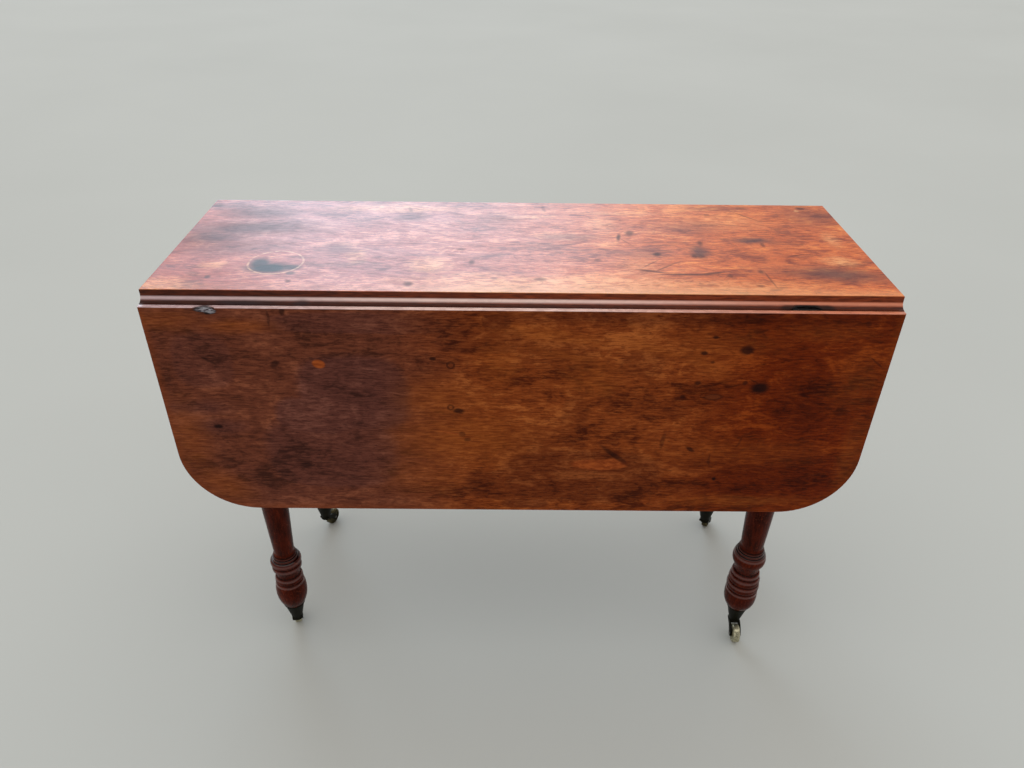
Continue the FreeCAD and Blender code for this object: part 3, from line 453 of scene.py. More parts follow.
# %% Marks on the top
TOP_SMUDGES = [
    (-430, 112, 50, 26, 0, 0.7), (-430, 45, 90, 28, 5, 0.75), (-475, 10, 50, 30, 0, 0.75),
    (-440, -25, 70, 30, 0, 0.45), (-180, 100, 22, 16, 0, 0.5), (-40, 95, 30, 26, 0, 0.35),
    (-275, -28, 22, 18, 0, 0.5), (70, 21, 45, 12, 0, 0.5), (268, -28, 12, 20, 0, 0.8),
    (362, 14, 28, 10, 0, 0.9), (450, -105, 62, 22, -6, 0.8), (385, -95, 60, 14, 0, 0.3),
    (260, 62, 50, 22, 0, 0.3), (480, 120, 40, 40, 0, 0.4), (330, 150, 45, 12, 0, 0.4),
    (190, -40, 30, 10, 0, 0.3),
]
TOP_DOTS = [
    (-440, -131, 4, 5, 0, 0.9), (-325, -142, 4, 4, 0, 0.8), (-158, -147, 6, 7, 0, 0.8),
    (-73, -74, 4, 8, 0, 0.7), (-91, -28, 6, 4, 0, 0.7), (25, -129, 8, 5, 0, 0.7),
    (-40, -127, 5, 4, 0, 0.5), (152, 23, 3, 13, -8, 0.95), (171, 40, 6, 11, -15, 0.8),
    (202, -40, 6, 5, 0, 0.9), (112, -63, 5, 5, 0, 0.6), (266, -45, 8, 7, 0, 0.7),
    (275, 3, 4, 8, 0, 0.7), (258, -46, 5, 6, 0, 0.8), (371, -1, 3, 9, 0, 0.7),
    (343, -98, 4, 6, 0, 0.7), (331, -144, 5, 4, 0, 0.6), (295, -112, 4, 6, 0, 0.6),
    (310, 121, 5, 5, 0, 0.5), (-510, 146, 9, 9, 0, 0.7), (476, 155, 7, 6, 0, 0.7),
    (375, 155, 10, 5, 0, 0.6), (-463, -122, 12, 7, -30, 0.5), (38, 143, 3, 14, 5, 0.5),
    (-184, 130, 3, 14, 15, 0.4), (207, -86, 1.5, 20, -50, 0.7), (188, -74, 1.2, 18, -45, 0.6),
    (372, 118, 1.5, 26, 40, 0.6), (350, -122, 1.5, 24, 5, 0.6), (225, -70, 1.2, 16, -60, 0.5),
    (160, 8, 1.2, 20, 30, 0.4), (410, -40, 14, 1.5, 20, 0.5),
]
TOP_ARC = [(186, -99, 20, 3, -14, 0.8), (236, -109, 34, 3, 0, 0.9), (272, -104, 18, 3, 12, 0.9)]
TOP_BLOOM = [
    (-378, -87, 15, 20, 20, 0.95), (-362, -101, 32, 17, 0, 1.0), (-335, -98, 18, 10, 0, 0.9),
    (-328, -116, 7, 6, 0, 0.7),
]
TOP_PALE = [
    (-132, -86, 26, 22, 0, 0.6), (470, -62, 22, 13, 0, 0.75), (484, 22, 10, 24, 0, 0.45),
    (-245, -55, 14, 20, 0, 0.4), (-443, -92, 16, 12, 0, 0.5), (-500, -158, 40, 20, 0, 0.5),
    (20, 105, 30, 6, 0, 0.5), (130, 75, 20, 26, 0, 0.35), (-200, 138, 90, 14, 0, 0.5),
    (160, 125, 60, 6, 0, 0.4), (60, -138, 190, 18, 0, 0.7), (270, -142, 130, 14, 0, 0.4),
    (-60, -118, 40, 10, 0, 0.4), (466, 144, 4, 4, 0, 1.0), (170, -90, 30, 40, 0, 0.25),
    (330, 90, 70, 26, 0, 0.25),
]
TOP_RING = (-357, -81, 39)
print("marks on the top:", len(TOP_SMUDGES + TOP_DOTS + TOP_ARC + TOP_BLOOM + TOP_PALE))

# %% [markdown]
# The mahogany of the top has faded to a warm red brown that turns more orange to the right. A paler rubbed
# band runs along the front edge. It is strongest just right of the middle and fades toward both ends.

# %% Polished top: wood
RED_TONES = (paint(112, 38, 27), paint(172, 71, 46), paint(220, 120, 80))
ORANGE_TONES = (paint(136, 46, 6), paint(208, 93, 16), paint(246, 140, 42))
RUBBED_POLISH = paint(246, 172, 108)
RUBBED_FRONT = paint(252, 190, 130)
FRONT_BAND_Y = (-0.171, -0.140)

top_finish, tree, shader, coords = start_material("polished_top")
wood = grain(tree, coords)
ragged = flatten(tree, coords, "Y", ragged=26.0)
crisp = flatten(tree, coords, "Y", ragged=3.0)
place = add(tree, "ShaderNodeSeparateXYZ", links={0: coords}).outputs
to_right = spread(tree, place["X"], -0.25, 0.2)
red_wood = stained_wood(tree, wood, *RED_TONES)
orange_wood = stained_wood(tree, wood, *ORANGE_TONES)
colour = mix_colours(tree, to_right, red_wood, orange_wood)
pale = marks(tree, ragged, TOP_PALE, softness=0.8)
rubbed = times(tree, pale, spread(tree, wood["Flecks"], 0.1, 0.8, 0.35, 1.0))
colour = mix_colours(tree, rubbed, colour, RUBBED_POLISH)
front_band = spread(tree, place["Y"], *FRONT_BAND_Y, 1.0, 0.0)
for value, *ends in (
    (wood["Ribbons"], 0.2, 0.9, 0.5, 0.9),
    (place["X"], -0.2, -0.02, 0.15, 1.0),
    (place["X"], 0.25, 0.45, 1.0, 0.3),
):
    front_band = times(tree, front_band, spread(tree, value, *ends))
colour = mix_colours(tree, front_band, colour, RUBBED_FRONT)
print("wood of", top_finish.name, "with", len(tree.nodes), "nodes")

# %% [markdown]
# Over the wood lie the marks, the broad ones with ragged edges, the small ones crisp. The ring is a thin
# pale circle that the flecks of the grain break up.

# %% Polished top: stains, ring and ink
SMUDGE = paint(66, 36, 42)
BLOOM = paint(18, 14, 22)
RING_LINE = paint(226, 166, 122)
INK = paint(40, 20, 24)
TOP_SCRATCH = paint(76, 34, 24)
RING_WIDTH = 2.0


def ring_line(tree, flat, centre_x, centre_y, radius, width):
    apart = vectors(tree, "DISTANCE", flat, (centre_x, centre_y, 0))["Value"]
    off_line = maths(tree, "ABSOLUTE", maths(tree, "SUBTRACT", apart, radius))
    return spread(tree, off_line, width * 0.5, width, 1.0, 0.0)


smudged = marks(tree, ragged, TOP_SMUDGES, softness=0.85)
colour = mix_colours(tree, smudged, colour, SMUDGE)
bloom = marks(tree, crisp, TOP_BLOOM, softness=0.5)
colour = mix_colours(tree, bloom, colour, BLOOM)
ring = times(tree, ring_line(tree, crisp, *TOP_RING, RING_WIDTH), wood["Flecks"])
colour = lay_on(tree, colour, ring, 0.6, RING_LINE)
dotted = marks(tree, crisp, TOP_DOTS + TOP_ARC, softness=0.6)
colour = lay_on(tree, colour, dotted, 0.85, INK)
colour = lay_on(tree, colour, scratch_mask(tree, coords), 0.25, TOP_SCRATCH)
print("marks laid on", top_finish.name, "now", len(tree.nodes), "nodes")

# %% [markdown]
# Below its arris the top carries one half of the rule joint: a dark upright fillet, then a quarter round
# whose crest carries a pale painted highlight, then a dark line at the foot, where it meets the leaf, which
# is dirt and painted shade in the joint. Heights in metres above the floor tell them apart. The painted
# highlight goes from grey pink at the left over pale pink to orange at the right, and the lip of the leaf
# uses it again.
# Near the right end the round has a slot, painted black inside as painted shade.

# %% Polished top: moulded edge
ARRIS_Z = (0.7272, 0.7279)
CREST_RISE_Z = (0.7124, 0.7158)
CREST_FALL_Z = (0.7168, 0.7194)
FOOT_Z = (0.7116, 0.7136)
SLOT_Z = (0.7136, 0.7154)
FOOT_STRENGTH = 0.7
EDGE_DIRT = [(-382, -178, 34, 4, 0, 0.8), (-301, -177, 11, 4, 0, 0.7), (40, -180, 60, 2, 0, 0.4)]
EDGE_HOLE = [(388, -178, 24, 8, 0, 1.0), (366, -178, 14, 6, 0, 0.7), (412, -178, 14, 6, 0, 0.7)]
FOOT_SHADE_AND_DIRT_TONE = paint(44, 18, 10)
DIRT_TONE = paint(44, 30, 32)
SLOT_SHADE_TONE = paint(6, 4, 3)
HIGHLIGHT_LEFT = paint(212, 182, 184)
HIGHLIGHT_MIDDLE = paint(255, 220, 210)
HIGHLIGHT_RIGHT = paint(230, 142, 108)


# Tone of the painted highlight along the moulded edges, by place across.
def painted_edge_highlight(tree, across):
    left_half = mix_colours(tree, spread(tree, across, -0.5, -0.1), HIGHLIGHT_LEFT, HIGHLIGHT_MIDDLE)
    return mix_colours(tree, spread(tree, across, 0.0, 0.44), left_half, HIGHLIGHT_RIGHT)


below_arris = spread(tree, place["Z"], *ARRIS_Z, 1.0, 0.0)
dark_edge = mix_colours(tree, wood["Fibres"], paint(96, 40, 20), paint(52, 18, 8))
warm_edge = mix_colours(tree, wood["Fibres"], paint(146, 62, 26), paint(86, 30, 9))
edge_colour = mix_colours(tree, spread(tree, place["X"], -0.45, 0.15), dark_edge, warm_edge)
# Dark line at the foot of the round: dirt and painted shade in the joint.
foot_shade_and_dirt = spread(tree, place["Z"], *FOOT_Z, FOOT_STRENGTH, 0.0)
edge_colour = mix_colours(tree, foot_shade_and_dirt, edge_colour, FOOT_SHADE_AND_DIRT_TONE)
crest = spread(tree, place["Z"], *CREST_RISE_Z)
crest = times(tree, crest, spread(tree, place["Z"], *CREST_FALL_Z, 1.0, 0.0))
# The pale crest colour is a painted highlight, streaked by the flecks.
crest_highlight = times(tree, crest, spread(tree, wood["Flecks"], 0.0, 1.0, 0.9, 1.0))
edge_colour = mix_colours(tree, crest_highlight, edge_colour, painted_edge_highlight(tree, place["X"]))
colour = mix_colours(tree, below_arris, colour, edge_colour)
edge_dirt = times(tree, marks(tree, crisp, EDGE_DIRT, softness=0.6), below_arris)
# The slot is painted black inside as painted shade.
low_edge = spread(tree, place["Z"], *SLOT_Z, 1.0, 0.0)
slot_shade = times(tree, marks(tree, crisp, EDGE_HOLE, softness=0.35), low_edge)
colour = mix_colours(tree, edge_dirt, colour, DIRT_TONE)
colour = mix_colours(tree, slot_shade, colour, SLOT_SHADE_TONE)
plug(shader, "Base Color", colour)
print("edge of", top_finish.name, "from", FOOT_Z[0], "to", ARRIS_Z[1])

# %% [markdown]
# Polish is a thin clear coat whose weight follows the grain. It is worn at the left end and duller to the
# right, weak on the edge apart from the crest, and dirt dulls it.

# %% Polished top: polish
POLISH_SHARES = (("Clouds", 0.16), ("Blotches", 0.26), ("Flecks", 0.14), ("Fibres", -0.2), ("Pores", -0.14))
POLISH_START = 0.5
POLISH_ROUGHNESS = 0.3
EDGE_POLISH = 0.25
WOOD_ROUGHNESS = 0.36
TOP_SPECULAR = 0.15

polish = weighted_sum(tree, wood, POLISH_SHARES, POLISH_START, clamp=True)
slant = maths(tree, "ADD", place["X"], times(tree, place["Y"], 0.4))
polish = times(tree, polish, spread(tree, slant, -0.56, -0.3, 0.3, 1.0))
polish = times(tree, polish, spread(tree, place["X"], 0.0, 0.3, 1.0, 0.65))
off_edge = spread(tree, below_arris, 0.0, 1.0, 1.0, EDGE_POLISH)
polish = times(tree, polish, strongest(tree, crest, off_edge))
dirty = strongest(tree, times(tree, smudged, 0.5), times(tree, bloom, 0.75))
dirty = strongest(tree, dirty, strongest(tree, dotted, slot_shade))
polish = times(tree, polish, maths(tree, "SUBTRACT", 1.0, times(tree, dirty, 0.7)))
plug(shader, "Coat Weight", polish)
shader.inputs["Coat Roughness"].default_value = POLISH_ROUGHNESS
shader.inputs["Specular IOR Level"].default_value = TOP_SPECULAR
dull = maths(tree, "ADD", times(tree, wood["Clouds"], 0.1), times(tree, smudged, 0.12))
plug(shader, "Roughness", maths(tree, "ADD", dull, WOOD_ROUGHNESS))
bump(tree, shader, grain_height(tree, wood), depth=0.00012)
print("finish:", top_finish.name, "with", len(tree.nodes), "nodes")

# %% [markdown]
# The leaf that hangs in front is darker, because polish and dirt were never rubbed off it. It has large
# stains with hard edges, soft darker clouds, small spots, amber patches, bare places and small rings.
# Positions are millimetres across from the middle and up from the floor.

# %% Marks on the front leaf
LEAF_STAINS = [
    (-242, 570, 80, 66, 0, 0.75), (-305, 530, 54, 32, -8, 0.75), (-285, 462, 98, 68, 0, 0.6),
    (-450, 625, 42, 44, 0, 0.4), (-200, 688, 150, 16, 0, 0.5), (-36, 692, 20, 12, 0, 0.85),
    (10, 364, 38, 9, 0, 0.85), (80, 510, 20, 62, 0, 0.4), (-60, 664, 62, 22, 0, 0.45),
    (140, 424, 46, 20, 0, 0.55), (50, 640, 56, 24, -5, 0.3), (170, 626, 32, 22, 0, 0.35),
    (95, 420, 125, 52, 0, 0.75), (-15, 402, 70, 30, 0, 0.6),
]
LEAF_SOFT_STAINS = [
    (-370, 395, 85, 48, 0, 0.25), (-480, 545, 46, 12, 0, 0.6), (-445, 511, 34, 12, 0, 0.6),
    (410, 560, 36, 46, 0, 0.55), (340, 436, 105, 24, 0, 0.5), (420, 420, 62, 44, 0, 0.45),
    (468, 552, 7, 34, -8, 0.5), (35, 460, 65, 52, 0, 0.45), (-180, 540, 16, 9, 10, 0.7),
    (340, 400, 160, 14, 0, 0.45), (-120, 620, 40, 18, 0, 0.3), (225, 545, 14, 7, -10, 0.5),
    (190, 703, 280, 13, 0, 0.9), (110, 416, 70, 15, 0, 0.5),
]
LEAF_SPOTS = [
    (314, 651, 10, 7, 0, 0.9), (343, 588, 13, 9, 0, 1.0), (255, 646, 5, 3, 0, 0.9),
    (268, 671, 5, 2.5, 0, 0.9), (253, 595, 5, 3, 0, 0.8), (303, 418, 3, 3, 0, 1.0),
    (258, 476, 8, 3, -35, 0.8), (215, 492, 3, 14, -8, 0.5), (-448, 511, 6, 3.5, 0, 1.0),
    (-125, 633, 5, 3, 0, 0.9), (-90, 543, 8, 4, 0, 0.9), (145, 462, 28, 4, -40, 0.7),
    (-348, 622, 7, 5, 40, 0.7), (-440, 626, 13, 2, -35, 0.6), (-325, 706, 4, 6, 0, 0.8),
    (320, 597, 4, 3, 0, 0.7), (333, 600, 8, 1.5, -25, 0.6), (500, 632, 14, 1.5, -35, 0.5),
    (-87, 500, 5, 4, 0, 0.6), (-80, 490, 5, 3, 0, 0.6), (-330, 438, 9, 5, 0, 0.5),
    (270, 632, 3, 2, 0, 0.6), (235, 572, 4, 3, 0, 0.6), (-346, 695, 2, 14, 0, 0.5),
    (473, 695, 4, 5, 0, 0.5), (330, 490, 2, 10, -20, 0.4), (290, 455, 2, 12, 5, 0.4),
]
LEAF_AMBER = [
    (40, 672, 76, 9, -8, 0.55), (180, 652, 46, 9, -18, 0.5), (70, 636, 66, 7, -14, 0.5),
    (100, 602, 32, 28, 0, 0.5), (250, 634, 50, 12, -32, 0.4), (-90, 490, 90, 44, 0, 0.6),
    (-495, 490, 26, 60, 0, 0.4), (-460, 398, 42, 24, -30, 0.5), (-390, 682, 46, 10, 0, 0.5),
    (-490, 690, 46, 14, 0, 0.4), (-150, 420, 60, 36, 0, 0.35), (330, 470, 110, 22, 0, 0.3),
    (350, 374, 90, 10, 0, 0.55), (-30, 630, 24, 34, 0, 0.4), (500, 470, 14, 60, 0, 0.35),
    (270, 660, 80, 20, 0, 0.3), (-120, 560, 50, 34, 0, 0.5), (120, 590, 20, 16, 0, 0.5),
    (480, 600, 30, 50, 0, 0.25), (420, 680, 60, 14, 0, 0.25),
]
LEAF_BARE = [
    (-286, 622, 9, 7, -15, 1.0), (118, 444, 38, 10, -2, 0.95), (142, 446, 24, 10, 0, 0.9),
    (-105, 503, 20, 1.2, -12, 0.7),
]
LEAF_RINGS = ((-100, 622, 5), (-102, 549, 4))
LEAF_OVALS = [(278, 572, 14, 6, 0, 0.8)]
LEAF_OVAL_INSIDES = [(278, 572, 11, 4, 0, 0.7)]
print("stains:", len(LEAF_STAINS + LEAF_SOFT_STAINS), "spots:", len(LEAF_SPOTS), "amber:", len(LEAF_AMBER))

# %% [markdown]
# The wood of the leaf is brown to the left, amber in the middle and redder to the right. The left half
# carries a large purple brown stain with a hard right edge. Stains multiply the wood's own colour, so the
# grain shows through them.

# %% Front leaf: wood and stains
BROWN_TONES = (paint(66, 30, 19), paint(110, 56, 38), paint(146, 82, 56))
AMBER_TONES = (paint(78, 26, 6), paint(138, 63, 23), paint(184, 100, 46))
DEEP_RED_TONES = (paint(62, 13, 0), paint(108, 35, 3), paint(150, 64, 16))
PURPLE_STAIN = (0.7, 0.84, 1.35, 1)
BROWN_STAIN = (0.5, 0.45, 0.55, 1)

leaf_finish, tree, shader, coords = start_material("front_leaf_finish")
wood = grain(tree, coords)
ragged = flatten(tree, coords, "Z", ragged=16.0)
rough = flatten(tree, coords, "Z", ragged=8.0)
crisp = flatten(tree, coords, "Z", ragged=4.0)
place = add(tree, "ShaderNodeSeparateXYZ", links={0: coords}).outputs
to_middle = spread(tree, place["X"], -0.22, -0.04)
to_right = spread(tree, place["X"], 0.16, 0.36)
brown_wood = stained_wood(tree, wood, *BROWN_TONES)
amber_wood = stained_wood(tree, wood, *AMBER_TONES)
red_wood = stained_wood(tree, wood, *DEEP_RED_TONES)
colour = mix_colours(tree, to_right, mix_colours(tree, to_middle, brown_wood, amber_wood), red_wood)
amber = marks(tree, ragged, LEAF_AMBER, softness=0.85)
amber_streaks = mix_colours(tree, wood["Fibres"], paint(170, 90, 34), paint(120, 52, 16))
colour = mix_colours(tree, amber, colour, amber_streaks)
soft_stains = marks(tree, ragged, LEAF_SOFT_STAINS, softness=0.8)
stains = marks(tree, rough, LEAF_STAINS, softness=0.12, squareness=3.2)
darkened = strongest(tree, soft_stains, stains)
stain_tint = mix_colours(tree, to_middle, PURPLE_STAIN, BROWN_STAIN)
colour = mix_colours(tree, darkened, colour, stain_tint, blend="MULTIPLY")
print("wood of", leaf_finish.name, "with", len(tree.nodes), "nodes")

# %% [markdown]
# Then the small things: bare orange wood in worn ovals and along the rim, dark spots, two small rings, an
# oval and fine scratches.

# %% Front leaf: spots, rings and rim
RIM_VALUES = {"Centre": (0, 949.5, 0), "Half Size": (520, 600, 1), "Corner": 108.0, "Depth": 14.0}
RIM_STRENGTH = 0.3
LEAF_SCRATCHES = 0.2
SPOT_TONE = paint(24, 6, 6)
OVAL_TONE = paint(118, 54, 24)
RIM_TONE = paint(140, 64, 22)
LEAF_SCRATCH = paint(60, 26, 14)


def rim_mask(tree, flat):
    return add(tree, "ShaderNodeGroup", RIM_VALUES, {"Flat": flat}, node_tree=rim_group).outputs["Mask"]


bare = marks(tree, crisp, LEAF_BARE, softness=0.2)
bare_streaks = mix_colours(tree, wood["Flecks"], paint(130, 56, 22), paint(172, 84, 36))
colour = mix_colours(tree, bare, colour, bare_streaks)
spots = marks(tree, rough, LEAF_SPOTS + LEAF_OVALS, softness=0.45)
for ring_place in LEAF_RINGS:
    spots = strongest(tree, spots, times(tree, ring_line(tree, crisp, *ring_place, RING_WIDTH), 0.6))
colour = lay_on(tree, colour, spots, 0.9, SPOT_TONE)
colour = mix_colours(tree, marks(tree, crisp, LEAF_OVAL_INSIDES, softness=0.25), colour, OVAL_TONE)
colour = lay_on(tree, colour, rim_mask(tree, ragged), RIM_STRENGTH, RIM_TONE)
colour = lay_on(tree, colour, scratch_mask(tree, coords), LEAF_SCRATCHES, LEAF_SCRATCH)
print("marks laid on", leaf_finish.name, "now", len(tree.nodes), "nodes")

# %% [markdown]
# Last the upper edge. The lip beside the joint gets the same pale painted highlight as the crest above it and
# shines, except where a splinter was torn out. The torn place shows dark at its rim and grey, fibrous wood
# inside.

# %% Front leaf: lip and chip
LIP_Z = (0.7088, 0.7097)
LIP_HIGHLIGHT_STRENGTH = 0.95
LEAF_CHIP = [(-430, 706.5, 15, 4, -3, 1.0), (-423, 704, 9, 4, 10, 1.0)]
LEAF_CHIP_INSIDE = [(-429, 706.5, 12, 3, -3, 0.9), (-421, 704.5, 6, 3, 10, 0.8)]
TORN_STRETCH = (140.0, 500.0, 900.0)
LEAF_SPECULAR = 0.06
LEAF_DENT = 0.00015

chip = marks(tree, crisp, LEAF_CHIP, softness=0.25)
chip_inside = marks(tree, crisp, LEAF_CHIP_INSIDE, softness=0.5)
torn_fibre = spread(tree, noise(tree, coords, TORN_STRETCH, detail=3.0), 0.4, 0.6)
torn_wood = mix_colours(tree, torn_fibre, paint(60, 50, 56), paint(172, 168, 174))
chip_colour = mix_colours(tree, chip_inside, paint(34, 20, 18), torn_wood)
lip = spread(tree, place["Z"], *LIP_Z)
# The pale lip colour is a painted highlight.
lip_highlight_streaks = spread(tree, wood["Flecks"], 0.0, 1.0, 0.7, 1.0)
painted_lip_highlight = mix_colours(tree, lip_highlight_streaks, paint(120, 60, 44), painted_edge_highlight(tree, place["X"]))
colour = lay_on(tree, colour, lip, LIP_HIGHLIGHT_STRENGTH, painted_lip_highlight)
colour = mix_colours(tree, chip, colour, chip_colour)
plug(shader, "Base Color", colour)
whole_lip = times(tree, lip, maths(tree, "SUBTRACT", 1.0, chip))
plug(shader, "Coat Weight", whole_lip)
shader.inputs["Coat Roughness"].default_value = POLISH_ROUGHNESS
shader.inputs["Specular IOR Level"].default_value = LEAF_SPECULAR
dull = maths(tree, "ADD", times(tree, wood["Clouds"], 0.12), times(tree, amber, 0.1))
plug(shader, "Roughness", maths(tree, "ADD", dull, WOOD_ROUGHNESS))
bump(tree, shader, grain_height(tree, wood), LEAF_DENT)
print("finish:", leaf_finish.name, "with", len(tree.nodes), "nodes")

# %% [markdown]
# The other leaf, at the back, is from the same tree and had the same life, but nobody can see its marks in
# the picture. It gets similar wood, a few stains of its own and the same worn rim.

# %% Rear leaf finish
REAR_STAINS = [
    (180, 560, 110, 60, 5, 0.5), (-260, 610, 90, 40, -4, 0.45), (-120, 420, 120, 34, 0, 0.4),
    (380, 450, 60, 50, 0, 0.4),
]
REAR_SPOTS = [
    (240, 640, 6, 4, 0, 0.8), (-60, 530, 5, 7, 10, 0.8), (-330, 470, 9, 5, 0, 0.7), (90, 450, 4, 4, 0, 0.9),
]
REAR_TONES = (paint(86, 38, 22), paint(118, 58, 36), paint(146, 80, 46))
REAR_SHIFT = (3.1, 0.0, 1.7)

rear_finish, tree, shader, coords = start_material("rear_leaf_finish")
shifted = add(tree, "ShaderNodeMapping", {"Location": REAR_SHIFT}, {"Vector": coords}).outputs[0]
wood = grain(tree, shifted)
ragged = flatten(tree, coords, "Z", ragged=18.0)
colour = stained_wood(tree, wood, *REAR_TONES)
colour = mix_colours(tree, marks(tree, ragged, REAR_STAINS, softness=0.6), colour, paint(74, 36, 26))
colour = lay_on(tree, colour, marks(tree, ragged, REAR_SPOTS, softness=0.5), 0.8, paint(42, 18, 12))
colour = lay_on(tree, colour, rim_mask(tree, ragged), RIM_STRENGTH, RIM_TONE)
colour = lay_on(tree, colour, scratch_mask(tree, coords), LEAF_SCRATCHES, LEAF_SCRATCH)
plug(shader, "Base Color", colour)
shader.inputs["Specular IOR Level"].default_value = LEAF_SPECULAR
cloudy = times(tree, wood["Clouds"], 0.14)
plug(shader, "Roughness", maths(tree, "ADD", cloudy, WOOD_ROUGHNESS))
bump(tree, shader, grain_height(tree, wood), LEAF_DENT)
print("finish:", rear_finish.name, "with", len(tree.nodes), "nodes")

# %% [markdown]
# The turned legs were stained darker than the boards and varnished. Their grain runs up the leg. Each turned
# line is painted dark, as dirt and painted shade, and the shoulder under each line gets a pale painted
# highlight and a glossier coat, so the two leg patterns each get a finish that knows the heights of its
# lines.
# The end rail, the drawer front and its knob have no such lines and are a little lighter.

# %% Dark mahogany finishes
LEFT_LEG_LINES = (0.1345, 0.149, 0.1735, 0.188, 0.1935, 0.199)
RIGHT_LEG_LINES = (0.123, 0.14, 0.156, 0.167, 0.21, 0.2155, 0.221)
LINE_HALF_WIDTH = 0.0015
SHOULDER_DROP = 0.0048
UP_THE_LEG = (0, math.radians(90), 0)
ACROSS_THE_END = (0, 0, math.radians(90))
LEG_TONES = (paint(44, 9, 2), paint(70, 18, 4), paint(98, 32, 9))
END_TONES = (paint(60, 17, 8), paint(98, 36, 16), paint(134, 60, 30))
SHOULDER_HIGHLIGHT = paint(110, 56, 48)
LINE_DIRT_AND_SHADE = paint(16, 4, 3)
VARNISH_SCRATCH = paint(138, 66, 40)
VARNISH_ROUGHNESS = 0.2
DARK_SPECULAR = 0.06


def lines_at(tree, height, levels, half_width):
    found = 0.0
    for level in levels:
        away = maths(tree, "ABSOLUTE", maths(tree, "SUBTRACT", height, level))
        found = strongest(tree, spread(tree, away, half_width * 0.3, half_width, 1.0, 0.0), found)
    return found


def dark_mahogany(name, turn, tones, lines=()):
    material, tree, shader, coords = start_material(name)
    wood = grain(tree, coords, turn)
    colour = stained_wood(tree, wood, *tones)
    if lines:
        height = add(tree, "ShaderNodeSeparateXYZ", links={0: coords}).outputs["Z"]
        # Pale shoulders under each line: a painted highlight, with a glossier coat.
        below = [level - SHOULDER_DROP for level in lines]
        shoulder_highlights = lines_at(tree, height, below, 2 * LINE_HALF_WIDTH)
        colour = lay_on(tree, colour, shoulder_highlights, 0.3, SHOULDER_HIGHLIGHT)
        # Dark turned lines: dirt and painted shade.
        colour = lay_on(tree, colour, lines_at(tree, height, lines, LINE_HALF_WIDTH), 0.85, LINE_DIRT_AND_SHADE)
        plug(shader, "Coat Weight", shoulder_highlights)
        shader.inputs["Coat Roughness"].default_value = VARNISH_ROUGHNESS
    colour = lay_on(tree, colour, scratch_mask(tree, coords), 0.3, VARNISH_SCRATCH)
    plug(shader, "Base Color", colour)
    shader.inputs["Specular IOR Level"].default_value = DARK_SPECULAR
    cloudy = times(tree, wood["Clouds"], 0.12)
    plug(shader, "Roughness", maths(tree, "ADD", cloudy, VARNISH_ROUGHNESS))
    bump(tree, shader, grain_height(tree, wood, pores=-0.5, fibres=-0.3), depth=0.0001)
    return material


left_leg_finish = dark_mahogany("left_leg_finish", UP_THE_LEG, LEG_TONES, LEFT_LEG_LINES)
right_leg_finish = dark_mahogany("right_leg_finish", UP_THE_LEG, LEG_TONES, RIGHT_LEG_LINES)
end_finish = dark_mahogany("end_rail_finish", ACROSS_THE_END, END_TONES)
print("finishes:", left_leg_finish.name, right_leg_finish.name, end_finish.name)

# %% [markdown]
# Inside, where nobody looks, the maker used a cheaper pale wood and left it bare. It has gone brown and
# dusty with age. Rails run along the table, so the grain does too.

# %% Bare wood finish
BARE_TONES = (paint(112, 76, 46), paint(150, 108, 68), paint(182, 140, 94))
BARE_ROUGHNESS = 0.65

bare_finish, tree, shader, coords = start_material("bare_wood")
wood = grain(tree, coords)
plug(shader, "Base Color", stained_wood(tree, wood, *BARE_TONES))
rough_fibres = times(tree, wood["Fibres"], 0.15)
plug(shader, "Roughness", maths(tree, "ADD", rough_fibres, BARE_ROUGHNESS))
bump(tree, shader, wood["Fibres"], depth=0.0002)
print("finish:", bare_finish.name)

# %% [markdown]
# Old brass is not gold. The caster cups and forks have a nearly black, slightly green skin, rubbed to metal
# only in patches. The wheels turn on the floor and are rubbed much paler. The rear pair is painted darker, as
# painted shade under the table. One group makes the patches. Each material sets its skin, its metal, how far
# it is rubbed and two roughnesses.

# %% Brass and iron finishes
BLOTCH_STRETCH = (90.0, 90.0, 90.0)
SPECK_STRETCH = (700.0, 700.0, 700.0)
WORN_THROUGH = (0.42, 0.6)
SKIN_METALLIC = 0.2

patina_group, patina_in, patina_out = start_group(
    "patina", [("Vector", "Vector"), ("Rubbed", "Float")], [("Mask", "Float"), ("Grain", "Float")]
)
blotches = noise(patina_group, patina_in["Vector"], BLOTCH_STRETCH, detail=6.0, roughness=0.7)
specks = noise(patina_group, patina_in["Vector"], SPECK_STRETCH, detail=3.0, roughness=0.6, shift=(1, 3, 2))
broad = times(patina_group, blotches, 0.75)
mottled = maths(patina_group, "ADD", broad, times(patina_group, specks, 0.25))
worn = maths(patina_group, "SUBTRACT", maths(patina_group, "ADD", mottled, patina_in["Rubbed"]), 0.5)
patina_group.links.new(spread(patina_group, worn, *WORN_THROUGH), patina_out.inputs["Mask"])
patina_group.links.new(specks, patina_out.inputs["Grain"])


def old_metal(name, skin, metal, rubbed, skin_rough, metal_rough):
    material, tree, shader, coords = start_material(name)
    values = {"Rubbed": rubbed}
    patches = add(tree, "ShaderNodeGroup", values, {"Vector": coords}, node_tree=patina_group).outputs
    mask = patches["Mask"]
    plug(shader, "Base Color", mix_colours(tree, mask, skin, metal))
    plug(shader, "Metallic", spread(tree, mask, 0.0, 1.0, SKIN_METALLIC, 1.0))
    shader.inputs["Specular IOR Level"].default_value = DARK_SPECULAR
    plug(shader, "Roughness", spread(tree, mask, 0.0, 1.0, skin_rough, metal_rough))
    bump(tree, shader, patches["Grain"], depth=0.0001, strength=0.6)
    return material


cup_finish = old_metal("dark_brass", paint(20, 19, 11), paint(104, 92, 58), 0.32, 0.5, 0.4)
wheel_finish = old_metal("rubbed_brass", paint(104, 100, 80), paint(196, 190, 160), 0.55, 0.5, 0.32)
